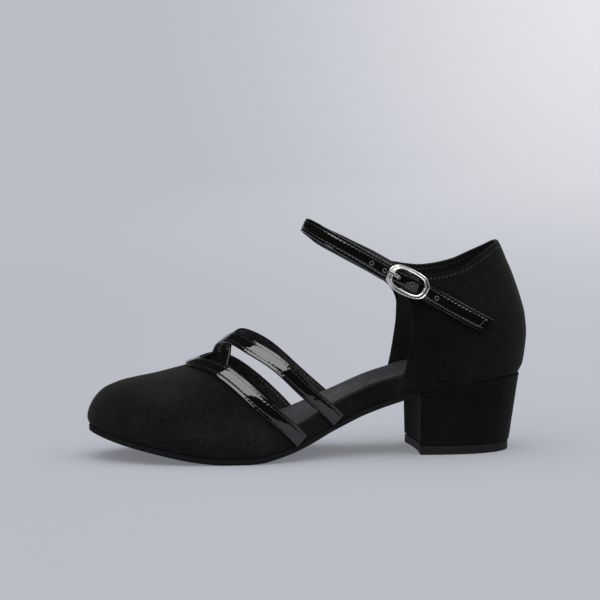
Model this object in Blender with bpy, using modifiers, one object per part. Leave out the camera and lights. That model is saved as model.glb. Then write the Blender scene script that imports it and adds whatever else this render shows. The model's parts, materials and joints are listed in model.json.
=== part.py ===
"""Ballroom dance shoe, the left one: closed toe, open waist, crossed instep straps, block heel.

Metres, +Z up, toe at -X, heel at +X, the lateral side with the buckle at -Y. The shoe stands on
z = 0, and the origin is under the middle of its box. One last surface, worked out from the tables
below, carries the upper, the footbed and every strap.
"""
import math
from bisect import bisect_right
from collections import namedtuple

import bmesh
import bpy
from mathutils import Matrix, Vector

# Driving sizes of the last and the sole
LENGTH = 0.2514             # toe tip to the back of the counter
BALL_WIDTH = 0.078          # sole across the ball
WAIST_WIDTH = 0.0434        # sole across the arch
SEAT_WIDTH = 0.0532         # sole across the seat
TOE_SHIFT = 0.003           # toe tip towards the big toe
TOE_SPRING = 0.0159         # rise of the feather line at the toe
SEAT_RISE = 0.0327          # rise of the feather line from ball to breast
SEAT_CLIMB = 0.009          # further rise from the breast to the back
VAMP_HEIGHT = 0.0525        # ridge of the vamp where the throat strap starts
COUNTER_HEIGHT = 0.120      # top of the counter
COUNTER_CURVE = 0.0125      # how far the back line of the counter swings
COLLAR_WIDTH = 0.0408       # counter across its top, outside
LASTED_FULLNESS = 2.15      # superellipse power of the vamp's sections
HEEL_FULLNESS = 2.3         # superellipse power of the seat's round end

# Thicknesses and clearances
GAP = 0.0003
WALL = 0.0018
SOLE_THICKNESS = 0.0033
SOLE_END = 0.0020           # sole skived at the breast
SOLE_CHAMFER = 0.0009
FEATHER_INSET = 0.0008      # upper inside the sole's edge
FOOTBED = 0.0125
SOCK_STANDS = 0.0008        # footbed above the waist band
TOE_BULGE = 0.0020

# Heel block and top lift
BASE_LENGTH = 0.0565
BASE_WIDTH_SHARE = 0.90     # heel's base against its top, across
LIFT_THICKNESS = 0.0050
LIFT_INSET = 0.0005
BREAST_HOLLOW = 0.0020

# Straps
STRAP_THICKNESS = 0.0016
INSTEP_STRAP_WIDTH = 0.0088
THROAT_TUCK = 0.0012        # vamp's edge ahead of the throat strap's middle
CROSSING_LIFT = 0.0009      # upper strap above the lower one where they cross
TUCK_DROP = 0.0002          # tucked strap ends under the level of the last surface
EDGE_ROUNDING = 0.22        # of the thickness, off each edge of a strap
STRAP_SHARES = (-1.0, -0.9, -0.45, 0.0, 0.45, 0.9, 1.0)
ANKLE_WIDTH = 0.0096
ANKLE_THICKNESS = 0.0018
ANKLE_LOOP_WIDTH = 0.0500   # ankle loop across
ANKLE_HEIGHT = 0.1300       # middle of the strap at the front of its loop
ANKLE_LEAN = math.radians(25)
TAIL_SLANT = 0.0048
HOLE_PITCH = 0.0085
HOLE_DIAMETER = 0.0022

# Buckle
PRONG_REACH = 0.0054        # prong's hole ahead of the bar
BUCKLE_LENGTH = 0.0255
BUCKLE_WIDTH = 0.0153
BUCKLE_RIM = 0.0017
BUCKLE_END_RIM = 0.0026
BUCKLE_DEPTH = 0.0022
BUCKLE_POWER = 2.7
BAR_DIAMETER = 0.0017
PRONG_DIAMETER = 0.0014
CHAPE_WIDTH = 0.0070
CHAPE_THICKNESS = 0.0009
CHAPE_LENGTH = 0.0140
# In the buckle's axes, whose origin is the middle of the strap over the bar
FRAME_SEAT = ANKLE_THICKNESS / 2 + GAP
BAR_DEPTH = ANKLE_THICKNESS / 2 + CHAPE_THICKNESS + 2 * GAP + BAR_DIAMETER / 2
BUCKLE_STACK = BAR_DEPTH + BAR_DIAMETER / 2 + CHAPE_THICKNESS + 2 * GAP

LATERAL, MEDIAL = -1, 1


class Curve:
    """Smooth curve through (place, value) rows, which never overshoots between two rows."""

    def __init__(self, rows):
        self.places = [row[0] for row in rows]
        self.values = [row[1] for row in rows]
        steps = [b - a for a, b in zip(self.places, self.places[1:])]
        rises = [(b - a) / s for a, b, s in zip(self.values, self.values[1:], steps)]
        self.slopes = [rises[0]]
        for before, after in zip(rises, rises[1:]):
            level = before * after <= 0
            self.slopes.append(0.0 if level else 2 * before * after / (before + after))
        self.slopes.append(rises[-1])

    def __call__(self, place):
        place = min(max(place, self.places[0]), self.places[-1])
        i = min(bisect_right(self.places, place) - 1, len(self.places) - 2)
        step = self.places[i + 1] - self.places[i]
        u = (place - self.places[i]) / step
        start = (1 + 2 * u) * (1 - u) ** 2 * self.values[i] + u * (1 - u) ** 2 * step * self.slopes[i]
        end = u * u * (3 - 2 * u) * self.values[i + 1] + u * u * (u - 1) * step * self.slopes[i + 1]
        return start + end


class Bend:
    """Natural cubic spline through (place, value) rows, for lines that bend evenly."""

    def __init__(self, rows):
        self.places = [row[0] for row in rows]
        self.values = [row[1] for row in rows]
        count = len(rows)
        steps = [b - a for a, b in zip(self.places, self.places[1:])]
        upper, right = [0.0] * count, [0.0] * count
        for i in range(1, count - 1):
            jump = (self.values[i + 1] - self.values[i]) / steps[i]
            jump -= (self.values[i] - self.values[i - 1]) / steps[i - 1]
            pivot = 2 * (steps[i - 1] + steps[i]) - steps[i - 1] * upper[i - 1]
            upper[i] = steps[i] / pivot
            right[i] = (6 * jump - steps[i - 1] * right[i - 1]) / pivot
        self.bends = [0.0] * count
        for i in range(count - 2, 0, -1):
            self.bends[i] = right[i] - upper[i] * self.bends[i + 1]

    def __call__(self, place):
        i = min(max(bisect_right(self.places, place) - 1, 0), len(self.places) - 2)
        step = self.places[i + 1] - self.places[i]
        b = (place - self.places[i]) / step
        a = 1 - b
        sag = ((a ** 3 - a) * self.bends[i] + (b ** 3 - b) * self.bends[i + 1]) * step * step / 6
        return a * self.values[i] + b * self.values[i + 1] + sag


def column(rows, name):
    """Curve of one named column of a table whose first column is the station."""
    return Curve([(row[0], getattr(row, name)) for row in rows])


def x_of(station):
    """Station 0 is the toe tip and station 1 the back of the counter."""
    return (station - 0.5) * LENGTH


def station_of(x):
    return x / LENGTH + 0.5


def blend(a, b, share):
    return a + (b - a) * share


def ease(share):
    share = min(max(share, 0.0), 1.0)
    return share * share * (3 - 2 * share)


# Stations of the sole's outline
SOLE_TIP, BREAST, SOLE_BACK = 0.004, 0.738, 0.985
TREAD_START, TREAD_END = 0.290, 0.340      # flat spot under the ball
Girth = namedtuple("Girth", "ball waist seat")
GIRTH_STATIONS = {LATERAL: Girth(0.352, 0.612, 0.830), MEDIAL: Girth(0.285, 0.600, 0.830)}

# Feather line, where upper meets sole: shares of toe spring, seat rise and seat climb
Feather = namedtuple("Feather", "station spring rise climb")
FEATHER = [
    Feather(0.000, 1.000, 0.000, 0.000),
    Feather(0.034, 0.805, 0.000, 0.000),
    Feather(0.074, 0.616, 0.000, 0.000),
    Feather(0.114, 0.459, 0.000, 0.000),
    Feather(0.154, 0.315, 0.000, 0.000),
    Feather(0.193, 0.182, 0.000, 0.000),
    Feather(0.233, 0.078, 0.000, 0.000),
    Feather(TREAD_START, 0.000, 0.000, 0.000),
    Feather(TREAD_END, 0.000, 0.000, 0.000),
    Feather(0.372, 0.000, 0.018, 0.000),
    Feather(0.412, 0.000, 0.085, 0.000),
    Feather(0.452, 0.000, 0.174, 0.000),
    Feather(0.492, 0.000, 0.297, 0.000),
    Feather(0.531, 0.000, 0.440, 0.000),
    Feather(0.571, 0.000, 0.575, 0.000),
    Feather(0.611, 0.000, 0.712, 0.000),
    Feather(0.651, 0.000, 0.826, 0.000),
    Feather(0.690, 0.000, 0.908, 0.000),
    Feather(0.738, 0.000, 1.000, 0.000),
    Feather(0.794, 0.000, 1.000, 0.256),
    Feather(0.868, 0.000, 1.000, 0.600),
    Feather(0.950, 0.000, 1.000, 0.922),
    Feather(1.000, 0.000, 1.000, 1.000),
]

# Ridge of the last, share of the vamp's height
Ridge = namedtuple("Ridge", "station height")
RIDGE = [
    Ridge(0.054, 0.781),
    Ridge(0.083, 0.827),
    Ridge(0.119, 0.863),
    Ridge(0.155, 0.895),
    Ridge(0.191, 0.937),
    Ridge(0.227, 0.982),
    Ridge(0.262, 1.044),
    Ridge(0.299, 1.158),
    Ridge(0.335, 1.290),
    Ridge(0.372, 1.415),
    Ridge(0.412, 1.543),
    Ridge(0.492, 1.752),
    Ridge(0.571, 1.924),
    Ridge(0.650, 2.057),
]

# Footbed's top above the feather line, share of its full thickness, and the toe bulge's share
Bed = namedtuple("Bed", "station footbed bulge")
BED = [
    Bed(0.000, 0.50, 1.00),
    Bed(0.150, 0.56, 0.85),
    Bed(0.300, 0.66, 0.70),
    Bed(0.412, 0.86, 0.35),
    Bed(0.480, 0.97, 0.08),
    Bed(0.560, 1.00, 0.00),
    Bed(0.740, 1.00, 0.00),
    Bed(0.820, 0.92, 0.00),
    Bed(1.000, 0.72, 0.00),
]

# Counter: its front edge as a station, its back line's swing, over the height's share
Counter = namedtuple("Counter", "height front swing")
COUNTER = [
    Counter(0.000, 0.6826, 0.000),
    Counter(0.063, 0.6885, 0.200),
    Counter(0.168, 0.6990, 0.300),
    Counter(0.293, 0.7070, 0.365),
    Counter(0.435, 0.7140, 0.290),
    Counter(0.560, 0.7185, 0.095),
    Counter(0.680, 0.7195, -0.150),
    Counter(0.773, 0.7110, -0.360),
    Counter(0.861, 0.6880, -0.600),
    Counter(0.930, 0.6715, -0.770),
    Counter(1.000, 0.6640, -0.985),
]

# Topline heights as shares of the counter's height, and the half breadth at the top
Topline = namedtuple("Topline", "station lateral medial breadth")
TOPLINE = [
    Topline(0.664, 0.876, 0.882, 1.180),
    Topline(0.700, 0.868, 0.889, 1.130),
    Topline(0.738, 0.856, 0.878, 1.070),
    Topline(0.770, 0.857, 0.872, 1.030),
    Topline(0.798, 0.868, 0.877, 1.005),
    Topline(0.842, 0.899, 0.897, 1.000),
    Topline(0.889, 0.958, 0.943, 1.000),
    Topline(0.914, 0.988, 0.972, 1.000),
    Topline(0.932, 1.000, 1.000, 1.000),
]

# Middle lines of the throat strap and of the two instep straps on the last surface. A turn of
# -1 is the lateral feather line, 0 the ridge and 1 the medial feather line.
Path = namedtuple("Path", "station turn")
THROAT = [
    Path(0.4615, -0.988),
    Path(0.427, -0.900),
    Path(0.392, -0.808),
    Path(0.346, -0.657),
    Path(0.307, -0.477),
    Path(0.277, -0.300),
    Path(0.248, -0.120),
    Path(0.238, 0.000),
    Path(0.248, 0.120),
    Path(0.281, 0.300),
    Path(0.322, 0.480),
    Path(0.371, 0.657),
    Path(0.424, 0.820),
    Path(0.452, 0.900),
    Path(0.482, 0.988),
]
OVER_STRAP = [
    Path(0.5495, -0.988),
    Path(0.512, -0.890),
    Path(0.465, -0.759),
    Path(0.412, -0.575),
    Path(0.356, -0.333),
    Path(0.3185, 0.000),
    Path(0.301, 0.165),
    Path(0.287, 0.310),
]
UNDER_STRAP = [
    Path(0.565, 0.988),
    Path(0.527, 0.890),
    Path(0.481, 0.759),
    Path(0.4255, 0.575),
    Path(0.366, 0.333),
    Path(0.3185, 0.000),
    Path(0.301, -0.165),
    Path(0.287, -0.310),
]

spring_share = column(FEATHER, "spring")
rise_share = column(FEATHER, "rise")
climb_share = column(FEATHER, "climb")
ridge_share = column(RIDGE, "height")
footbed_share = column(BED, "footbed")
bulge_share = column(BED, "bulge")
front_station = column(COUNTER, "front")
back_swing = column(COUNTER, "swing")
topline_share = {LATERAL: column(TOPLINE, "lateral"), MEDIAL: column(TOPLINE, "medial")}
collar_share = column(TOPLINE, "breadth")


def feather(x):
    """Height of the line where the upper meets the sole and the heel."""
    s = station_of(x)
    return (SOLE_THICKNESS + spring_share(s) * TOE_SPRING + rise_share(s) * SEAT_RISE
            + climb_share(s) * SEAT_CLIMB)


def ridge(x):
    return ridge_share(station_of(x)) * VAMP_HEIGHT


def band_height(x):
    """Height of the waist band, just under the footbed's top."""
    return footbed_share(station_of(x)) * FOOTBED - SOCK_STANDS


def edge(side, x, inset=0.0):
    """Outline of the sole seen from above, as y at this x, moved in by the inset."""
    at = GIRTH_STATIONS[side]
    ball, waist, seat = x_of(at.ball), x_of(at.waist), x_of(at.seat)
    half_ball = BALL_WIDTH / 2 - inset
    half_waist = WAIST_WIDTH / 2 - inset
    half_seat = SEAT_WIDTH / 2 - inset
    if x < ball:
        tip = x_of(SOLE_TIP) + inset
        along = min(max((ball - x) / (ball - tip), 0.0), 1.0)
        reach = half_ball - side * TOE_SHIFT
        return TOE_SHIFT + side * reach * math.sqrt(1 - along * along)
    if x < waist:
        return side * blend(half_ball, half_waist, ease((x - ball) / (waist - ball)))
    if x < seat:
        return side * blend(half_waist, half_seat, ease((x - waist) / (seat - waist)))
    back = x_of(SOLE_BACK) - inset
    along = min(max((x - seat) / (back - seat), 0.0), 1.0)
    return side * half_seat * (1 - along ** HEEL_FULLNESS) ** (1 / HEEL_FULLNESS)


def ridge_lead(x):
    """How far the top of a column lies behind its foot: it grows towards the toe tip."""
    tip, end = x_of(SOLE_TIP) + FEATHER_INSET, x_of(0.195)
    share = min(max((end - x) / (end - tip), 0.0), 1.0)
    return share * share * (x_of(0.054) - tip)


def lasted_point(x, turn):
    """Point of the last surface: x is the station of the column's foot."""
    side = LATERAL if turn < 0 else MEDIAL
    angle = (1 - min(abs(turn), 1.0)) * math.pi / 2
    top_x = x + ridge_lead(x)
    toe = ease((x_of(0.30) - top_x) / (x_of(0.30) - x_of(0.0)))
    top = Vector((top_x, TOE_SHIFT * toe, ridge(top_x)))
    foot = Vector((x, edge(side, x, FEATHER_INSET), feather(x)))
    power = 2 / LASTED_FULLNESS
    inward = 1 - math.cos(angle) ** power
    up = math.sin(angle) ** power
    point = foot.lerp(top, inward)
    slope = (ridge(top_x + 0.002) - ridge(top_x)) / 0.002
    point.z = blend(foot.z, top.z, up) + slope * (point.x - top.x) * up ** 3
    outward = Vector((foot.x - top.x, foot.y - top.y, 0))
    if outward.length > 0:
        swell = 4.0 * up * math.exp(1 - 4.0 * up)
        point += outward.normalized() * swell * bulge_share(station_of(x)) * TOE_BULGE
    return point


def turn_at_height(side, x, height):
    """Turn of the point that lies this high above the feather line in its column."""
    full = ridge(x + ridge_lead(x)) - feather(x)
    share = min(max(height / full, 0.0), 1.0)
    return side * (1 - math.asin(share ** (LASTED_FULLNESS / 2)) / (math.pi / 2))


def counter_back(share):
    return x_of(SOLE_BACK) - FEATHER_INSET + back_swing(share) * COUNTER_CURVE


def counter_round(share):
    """Length of the counter's round end at this share of its height."""
    seat = x_of(SOLE_BACK) - x_of(GIRTH_STATIONS[LATERAL].seat) - FEATHER_INSET
    return seat * blend(1.0, 0.86, share)


def counter_breadth(side, x, share):
    """Half breadth of the counter's side wall at this x and share of its height."""
    seat = x_of(GIRTH_STATIONS[side].seat)
    low = abs(edge(side, min(x, seat), FEATHER_INSET))
    high = collar_share(station_of(x)) * COLLAR_WIDTH / 2
    swell = 0.0016 * math.sin(math.pi * share) * ease((x - x_of(0.69)) / 0.030)
    return blend(low, high, share ** 2.0) + swell


def counter_point(side, along, share):
    """Point of the counter: along runs 0..1 on the side wall and 1..2 round the back."""
    front, start = x_of(front_station(share)), counter_back(share) - counter_round(share)
    if along <= 1:
        x = blend(front, start, along)
        y = counter_breadth(side, x, share)
    else:
        angle = (2 - along) * math.pi / 2
        x = start + counter_round(share) * math.cos(angle) ** (2 / HEEL_FULLNESS)
        y = counter_breadth(side, start, share) * math.sin(angle) ** (2 / HEEL_FULLNESS)
        if along >= 2:
            x, y = counter_back(share), 0.0
    low = feather(counter_point_x(along, 0.0))
    high = topline_share[side](station_of(counter_point_x(along, 1.0))) * COUNTER_HEIGHT
    return Vector((x, side * y, blend(low, high, share)))


def counter_point_x(along, share):
    start = counter_back(share) - counter_round(share)
    if along <= 1:
        return blend(x_of(front_station(share)), start, along)
    angle = (2 - along) * math.pi / 2
    return start + counter_round(share) * math.cos(angle) ** (2 / HEEL_FULLNESS)


def counter_side(side, x, z):
    """y of the counter's outer face at this x and z."""
    low = feather(x)
    high = topline_share[side](station_of(x)) * COUNTER_HEIGHT
    share = min(max((z - low) / (high - low), 0.0), 1.0)
    start = counter_back(share) - counter_round(share)
    if x <= start:
        return side * counter_breadth(side, x, share)
    along = min((x - start) / counter_round(share), 1.0)
    return side * counter_breadth(side, start, share) * (1 - along ** HEEL_FULLNESS) ** (1 / HEEL_FULLNESS)


def material(name, colour, roughness, metallic=0.0, coat=0.0):
    made = bpy.data.materials.new(name)
    made.use_nodes = True
    shader = made.node_tree.nodes["Principled BSDF"]
    shader.inputs["Base Color"].default_value = (*colour, 1)
    shader.inputs["Roughness"].default_value = roughness
    shader.inputs["Metallic"].default_value = metallic
    shader.inputs["Coat Weight"].default_value = coat
    made.diffuse_color = (*colour, 1)
    return made


def add_object(name, bm, finish, collection):
    bmesh.ops.recalc_face_normals(bm, faces=bm.faces)
    mesh = bpy.data.meshes.new(name)
    bm.to_mesh(mesh)
    bm.free()
    mesh.shade_smooth()
    mesh.set_sharp_from_angle(angle=math.radians(40))
    mesh.materials.append(finish)
    made = bpy.data.objects.new(name, mesh)
    collection.objects.link(made)
    return made


def grid(bm, columns):
    """Faces between neighbouring columns of points."""
    made = [[bm.verts.new(point) for point in points] for points in columns]
    for left, right in zip(made, made[1:]):
        for a, b, c, d in zip(left, left[1:], right[1:], right):
            bm.faces.new((a, b, c, d))


def use(modifier_owner, operation, cutter, name):
    modifier = modifier_owner.modifiers.new(name, "BOOLEAN")
    modifier.operation = operation
    modifier.object = cutter
    modifier.solver = "EXACT"


def plan_stations(inset, last, toe_steps=12, waist_steps=15, heel_steps=9):
    """x of the sections of a sole-shaped piece, close together where its ends turn round."""
    tip = x_of(SOLE_TIP) + inset
    ball = x_of(GIRTH_STATIONS[LATERAL].ball)
    seat = x_of(GIRTH_STATIONS[LATERAL].seat)
    tread = [x_of(TREAD_START), x_of(TREAD_END)]
    places = [tip + (ball - tip) * (1 - math.cos(i / toe_steps * math.pi / 2)) for i in range(toe_steps)]
    places = [x for x in places if x < tread[0] - 0.003] + tread
    if last <= seat:
        return places + [blend(ball, last, i / waist_steps) for i in range(waist_steps + 1)]
    places += [blend(ball, seat, i / waist_steps) for i in range(waist_steps)]
    turn = math.pi / 2 / heel_steps
    return places + [seat + (last - seat) * math.sin(i * turn) ** (2 / HEEL_FULLNESS)
                     for i in range(heel_steps + 1)]


def plan_solid(name, sections, finish, collection):
    """Closed solid from sections across the shoe, each a list of points from side to side round."""
    bm = bmesh.new()
    rings = [[bm.verts.new(point) for point in section] for section in sections]
    for one, two in zip(rings, rings[1:]):
        for i in range(len(one)):
            j = (i + 1) % len(one)
            bm.faces.new((one[i], one[j], two[j], two[i]))
    bm.faces.new(rings[0])
    bm.faces.new(rings[-1])
    bmesh.ops.remove_doubles(bm, verts=bm.verts, dist=0.00002)
    return add_object(name, bm, finish, collection)


def section_across(x, inset, levels):
    """Section at this x from (height, extra inset) levels, bottom to top, on both sides."""
    right = [Vector((x, edge(MEDIAL, x, inset) - more, z)) for z, more in levels]
    left = [Vector((x, edge(LATERAL, x, inset) + more, z)) for z, more in levels]
    middle = (right[0].y + left[0].y) / 2
    for point in right:
        point.y = max(point.y, middle)
    for point in left:
        point.y = min(point.y, middle)
    return left[::-1] + right


def sole_thickness(x):
    return blend(SOLE_THICKNESS, SOLE_END, ease((x - x_of(0.63)) / (x_of(BREAST) - x_of(0.63))))


def make_outsole(finish, collection):
    sections = []
    tip = x_of(SOLE_TIP)
    for x in plan_stations(0.0, x_of(BREAST) - GAP):
        top = feather(x) - GAP
        bottom = feather(x) - sole_thickness(x)
        near_tip = min((x - tip) / 0.004, 1.0)
        bevel = SOLE_CHAMFER * max(near_tip, 0.02)
        sections.append(section_across(x, 0.0, [(bottom, bevel), (bottom + bevel, 0.0), (top, 0.0)]))
    return plan_solid("outsole", sections, finish, collection)


def make_insole(finish, collection):
    sections = []
    inset = FEATHER_INSET + WALL + 2 * GAP
    back = x_of(SOLE_BACK) - inset
    for x in plan_stations(inset, back):
        top = feather(x) + footbed_share(station_of(x)) * FOOTBED
        sections.append(section_across(x, inset, [(feather(x), 0.0), (top, 0.0)]))
    return plan_solid("insole", sections, finish, collection)


def heel_ring(rise, inset):
    """Stations of the heel block: rise 0 is its base and 1 its top."""
    breast, back = x_of(BREAST), x_of(SOLE_BACK)
    length = blend(BASE_LENGTH / (back - breast), 1.0, rise)
    width = blend(BASE_WIDTH_SHARE, 1.0, rise)
    steps = [i / 6 for i in range(6)]
    seat = (x_of(GIRTH_STATIONS[LATERAL].seat) - breast) / (back - breast)
    shares = [seat * step for step in steps]
    shares += [blend(seat, 1.0, math.sin(i / 10 * math.pi / 2) ** (2 / HEEL_FULLNESS)) for i in range(11)]
    ring = []
    for share in shares:
        x = blend(breast, back, share)
        place = breast + (x - breast) * length + (0.5 - share) * 2 * inset
        ring.append((place, edge(LATERAL, x) * width, edge(MEDIAL, x) * width, x, inset))
    return ring


def heel_sections(levels):
    """Sections of the heel from (rise, inset, height function) levels."""
    rings = [heel_ring(rise, inset) for rise, inset, _ in levels]
    sections = []
    for k in range(len(rings[0])):
        left, right = [], []
        for (rise, inset, height), ring in zip(levels, rings):
            place, y_left, y_right, x, _ = ring[k]
            z = height(place)
            left.append(Vector((place, min(y_left + inset, 0.0), z)))
            right.append(Vector((place, max(y_right - inset, 0.0), z)))
        sections.append(left[::-1] + right)
    return sections


def make_heel(finishes, collection, cutters):
    bpy.ops.mesh.primitive_cylinder_add(vertices=256, radius=0.145, depth=0.120)
    hollow = bpy.context.object
    hollow.name = "breast_cutter"
    hollow.location = (x_of(BREAST) - 0.145 + BREAST_HOLLOW, 0, 0.02)
    hidden(hollow)
    for owner in list(hollow.users_collection):
        owner.objects.unlink(hollow)
    cutters.objects.link(hollow)

    block_levels = [
        (0.0, 0.0, lambda x: LIFT_THICKNESS + GAP),
        (0.5, 0.0, lambda x: blend(LIFT_THICKNESS + GAP, feather(x) - GAP, 0.5)),
        (1.0, 0.0, lambda x: feather(x) - GAP),
    ]
    heel = plan_solid("heel", heel_sections(block_levels), finishes["heel"], collection)
    use(heel, "DIFFERENCE", hollow, "hollow breast")
    lift_levels = [(0.0, LIFT_INSET, lambda x: 0.0), (0.0, LIFT_INSET, lambda x: LIFT_THICKNESS)]
    lift = plan_solid("heel_lift", heel_sections(lift_levels), finishes["lift"], collection)
    use(lift, "DIFFERENCE", hollow, "hollow breast")


def throat_limit(side):
    """Turn at which the vamp ends, over the station, under the throat strap of one side."""
    rows = [row for row in THROAT if row.turn * side >= 0]
    rows.sort(key=lambda row: row.station)
    return Curve([(row.station - THROAT_TUCK / LENGTH, row.turn) for row in rows])


def vamp_feet(side, limit, toe_steps=17, side_steps=11):
    """x of the vamp's columns, from the toe tip to where the throat reaches the waist band."""
    tip = x_of(SOLE_TIP) + FEATHER_INSET
    throat = x_of(limit.places[0])
    end = throat
    while abs(limit(station_of(end))) < abs(turn_at_height(side, end, band_height(end))):
        end += 0.0005
    ball = x_of(GIRTH_STATIONS[LATERAL].ball)
    stop = math.acos(1 - (throat - tip) / (ball - tip))
    toe = [tip + (ball - tip) * (1 - math.cos(i / toe_steps * stop)) for i in range(toe_steps)]
    return toe + [blend(throat, end, i / side_steps) for i in range(side_steps + 1)]


def band_column(side, foot, lean):
    points = []
    for level in (0.0, 0.5, 1.0):
        x = foot + lean * level
        points.append(lasted_point(x, turn_at_height(side, x, band_height(x) * level)))
    return points


def counter_column(side, along, steps=11):
    """Points up the counter: feather line, middle and top of the band, then up to the topline."""
    foot, top = counter_point(side, along, 0.0), counter_point(side, along, 1.0)
    low = band_height(foot.x) / (top.z - foot.z)
    shares = [0.0, low / 2, low] + [blend(low, 1.0, i / steps) for i in range(1, steps + 1)]
    return [counter_point(side, along, share) for share in shares]


def make_upper(finish, collection):
    bm = bmesh.new()
    vamp_rows, waist_steps, wall_steps, round_steps = 9, 11, 7, 10
    alongs = [i / wall_steps for i in range(wall_steps)]
    alongs += [1 + i / round_steps for i in range(round_steps + 1)]
    for side in (LATERAL, MEDIAL):
        limit = throat_limit(side)
        feet = vamp_feet(side, limit)
        counters = [counter_column(side, along) for along in alongs]
        front, lean = counters[0][0].x, counters[0][2].x - counters[0][0].x
        waists = [blend(feet[-1], front, i / waist_steps) for i in range(1, waist_steps)]
        bands = [band_column(side, x, 0.0) for x in feet]
        bands += [band_column(side, x, lean * (x - feet[-1]) / (front - feet[-1])) for x in waists]
        vamps = []
        for x in feet:
            start = turn_at_height(side, x, band_height(x))
            stop = limit(station_of(x)) if x < feet[-1] else start
            vamps.append([lasted_point(x, blend(start, stop, i / vamp_rows)) for i in range(vamp_rows + 1)])
        grid(bm, bands + [points[:3] for points in counters])
        grid(bm, [points[2:] for points in counters])
        grid(bm, vamps)
    bmesh.ops.remove_doubles(bm, verts=bm.verts, dist=0.00005)
    upper = add_object("upper", bm, finish, collection)
    wall = upper.modifiers.new("wall", "SOLIDIFY")
    wall.thickness = WALL
    wall.offset = -1
    wall.use_even_offset = True
    return upper


def along_route(points):
    """Length run at each point of a route."""
    runs = [0.0]
    for a, b in zip(points, points[1:]):
        runs.append(runs[-1] + (b - a).length)
    return runs


def hidden(maker):
    maker.hide_render = True
    maker.display_type = "WIRE"
    return maker


def surface_frame(x, turn):
    """Point, outward normal and the two tangents of the last surface."""
    dx, dt = 0.0005, 0.004
    point = lasted_point(x, turn)
    along = (lasted_point(x + dx, turn) - lasted_point(x - dx, turn)) / (2 * dx)
    across = (lasted_point(x, turn + dt) - lasted_point(x, turn - dt)) / (2 * dt)
    return point, along.cross(across).normalized(), along, across


def strap_section(x, turn, step, half_width, lift, thickness):
    """Inner and outer points across a strap whose inner face lies at this lift above the last."""
    _, normal, along, across = surface_frame(x, turn)
    sideways = normal.cross(along * step[0] + across * step[1]).normalized()
    shear = along.dot(across)
    gram = along.length_squared * across.length_squared - shear ** 2
    a, b = sideways.dot(along), sideways.dot(across)
    to_x = (a * across.length_squared - b * shear) / gram
    to_turn = (b * along.length_squared - a * shear) / gram
    inner, outer = [], []
    for share in STRAP_SHARES:
        reach = share * half_width
        base, base_normal, _, _ = surface_frame(x + to_x * reach, turn + to_turn * reach)
        rounding = thickness * EDGE_ROUNDING if abs(share) == 1.0 else 0.0
        inner.append(base + base_normal * (lift + rounding))
        outer.append(base + base_normal * (lift + thickness - rounding))
    return inner, outer


def ribbon(bm, sections):
    """Strap from (inner points, outer points) sections."""
    made = [([bm.verts.new(p) for p in inner], [bm.verts.new(p) for p in outer])
            for inner, outer in sections]
    last = len(made[0][0]) - 1
    for one, two in zip(made, made[1:]):
        for k in range(last):
            for face in (0, 1):
                bm.faces.new((one[face][k], one[face][k + 1], two[face][k + 1], two[face][k]))
        for k in (0, last):
            bm.faces.new((one[0][k], one[1][k], two[1][k], two[0][k]))
    for inner, outer in (made[0], made[-1]):
        for k in range(last):
            bm.faces.new((inner[k], inner[k + 1], outer[k + 1], outer[k]))


def lasted_strap(bm, rows, lifts, steps):
    """Strap that lies on the last along rows of (station, turn), from one end to the other."""
    runs = along_route([lasted_point(x_of(row.station), row.turn) for row in rows])
    stations = Bend([(run / runs[-1], row.station) for run, row in zip(runs, rows)])
    turns = Bend([(run / runs[-1], row.turn) for run, row in zip(runs, rows)])
    sections = []
    for i in range(steps + 1):
        u = i / steps
        before, after = max(u - 0.01, 0.0), min(u + 0.01, 1.0)
        step = (x_of(stations(after)) - x_of(stations(before)), turns(after) - turns(before))
        sections.append(strap_section(x_of(stations(u)), turns(u), step, INSTEP_STRAP_WIDTH / 2,
                                      lifts(u), STRAP_THICKNESS))
    ribbon(bm, sections)


def make_throat_strap(finish, collection):
    bm = bmesh.new()
    lasted_strap(bm, THROAT, lambda u: GAP, 44)
    return add_object("throat_strap", bm, finish, collection)


def make_cross_straps(finish, collection, cutters):
    """The two instep straps. Past the crossing each dips to the vamp's level, under the throat."""
    tucked = -STRAP_THICKNESS - TUCK_DROP
    over = Curve([(0.0, GAP), (0.58, GAP), (0.72, GAP + CROSSING_LIFT), (0.84, GAP + CROSSING_LIFT),
                  (0.955, tucked), (1.0, tucked)])
    under = Curve([(0.0, GAP), (0.84, GAP), (0.955, tucked), (1.0, tucked)])
    bm = bmesh.new()
    lasted_strap(bm, OVER_STRAP, over, 34)
    straps = add_object("cross_straps", bm, finish, collection)
    bm = bmesh.new()
    lasted_strap(bm, UNDER_STRAP, under, 34)
    use(straps, "UNION", hidden(add_object("under_strap", bm, finish, cutters)), "joined where they cross")


# Ankle strap, from its tail to the buckle's bar: station, share of the strap's height, and share
# of the stack between strap and counter
Tail = namedtuple("Tail", "station height stack")
TAIL = [
    Tail(0.8846, 0.569, 0.25),
    Tail(0.8350, 0.619, 0.25),
    Tail(0.7850, 0.673, 0.40),
    Tail(0.7408, 0.721, 0.74),
    Tail(0.7020, 0.7640, 1.00),
]
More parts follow.
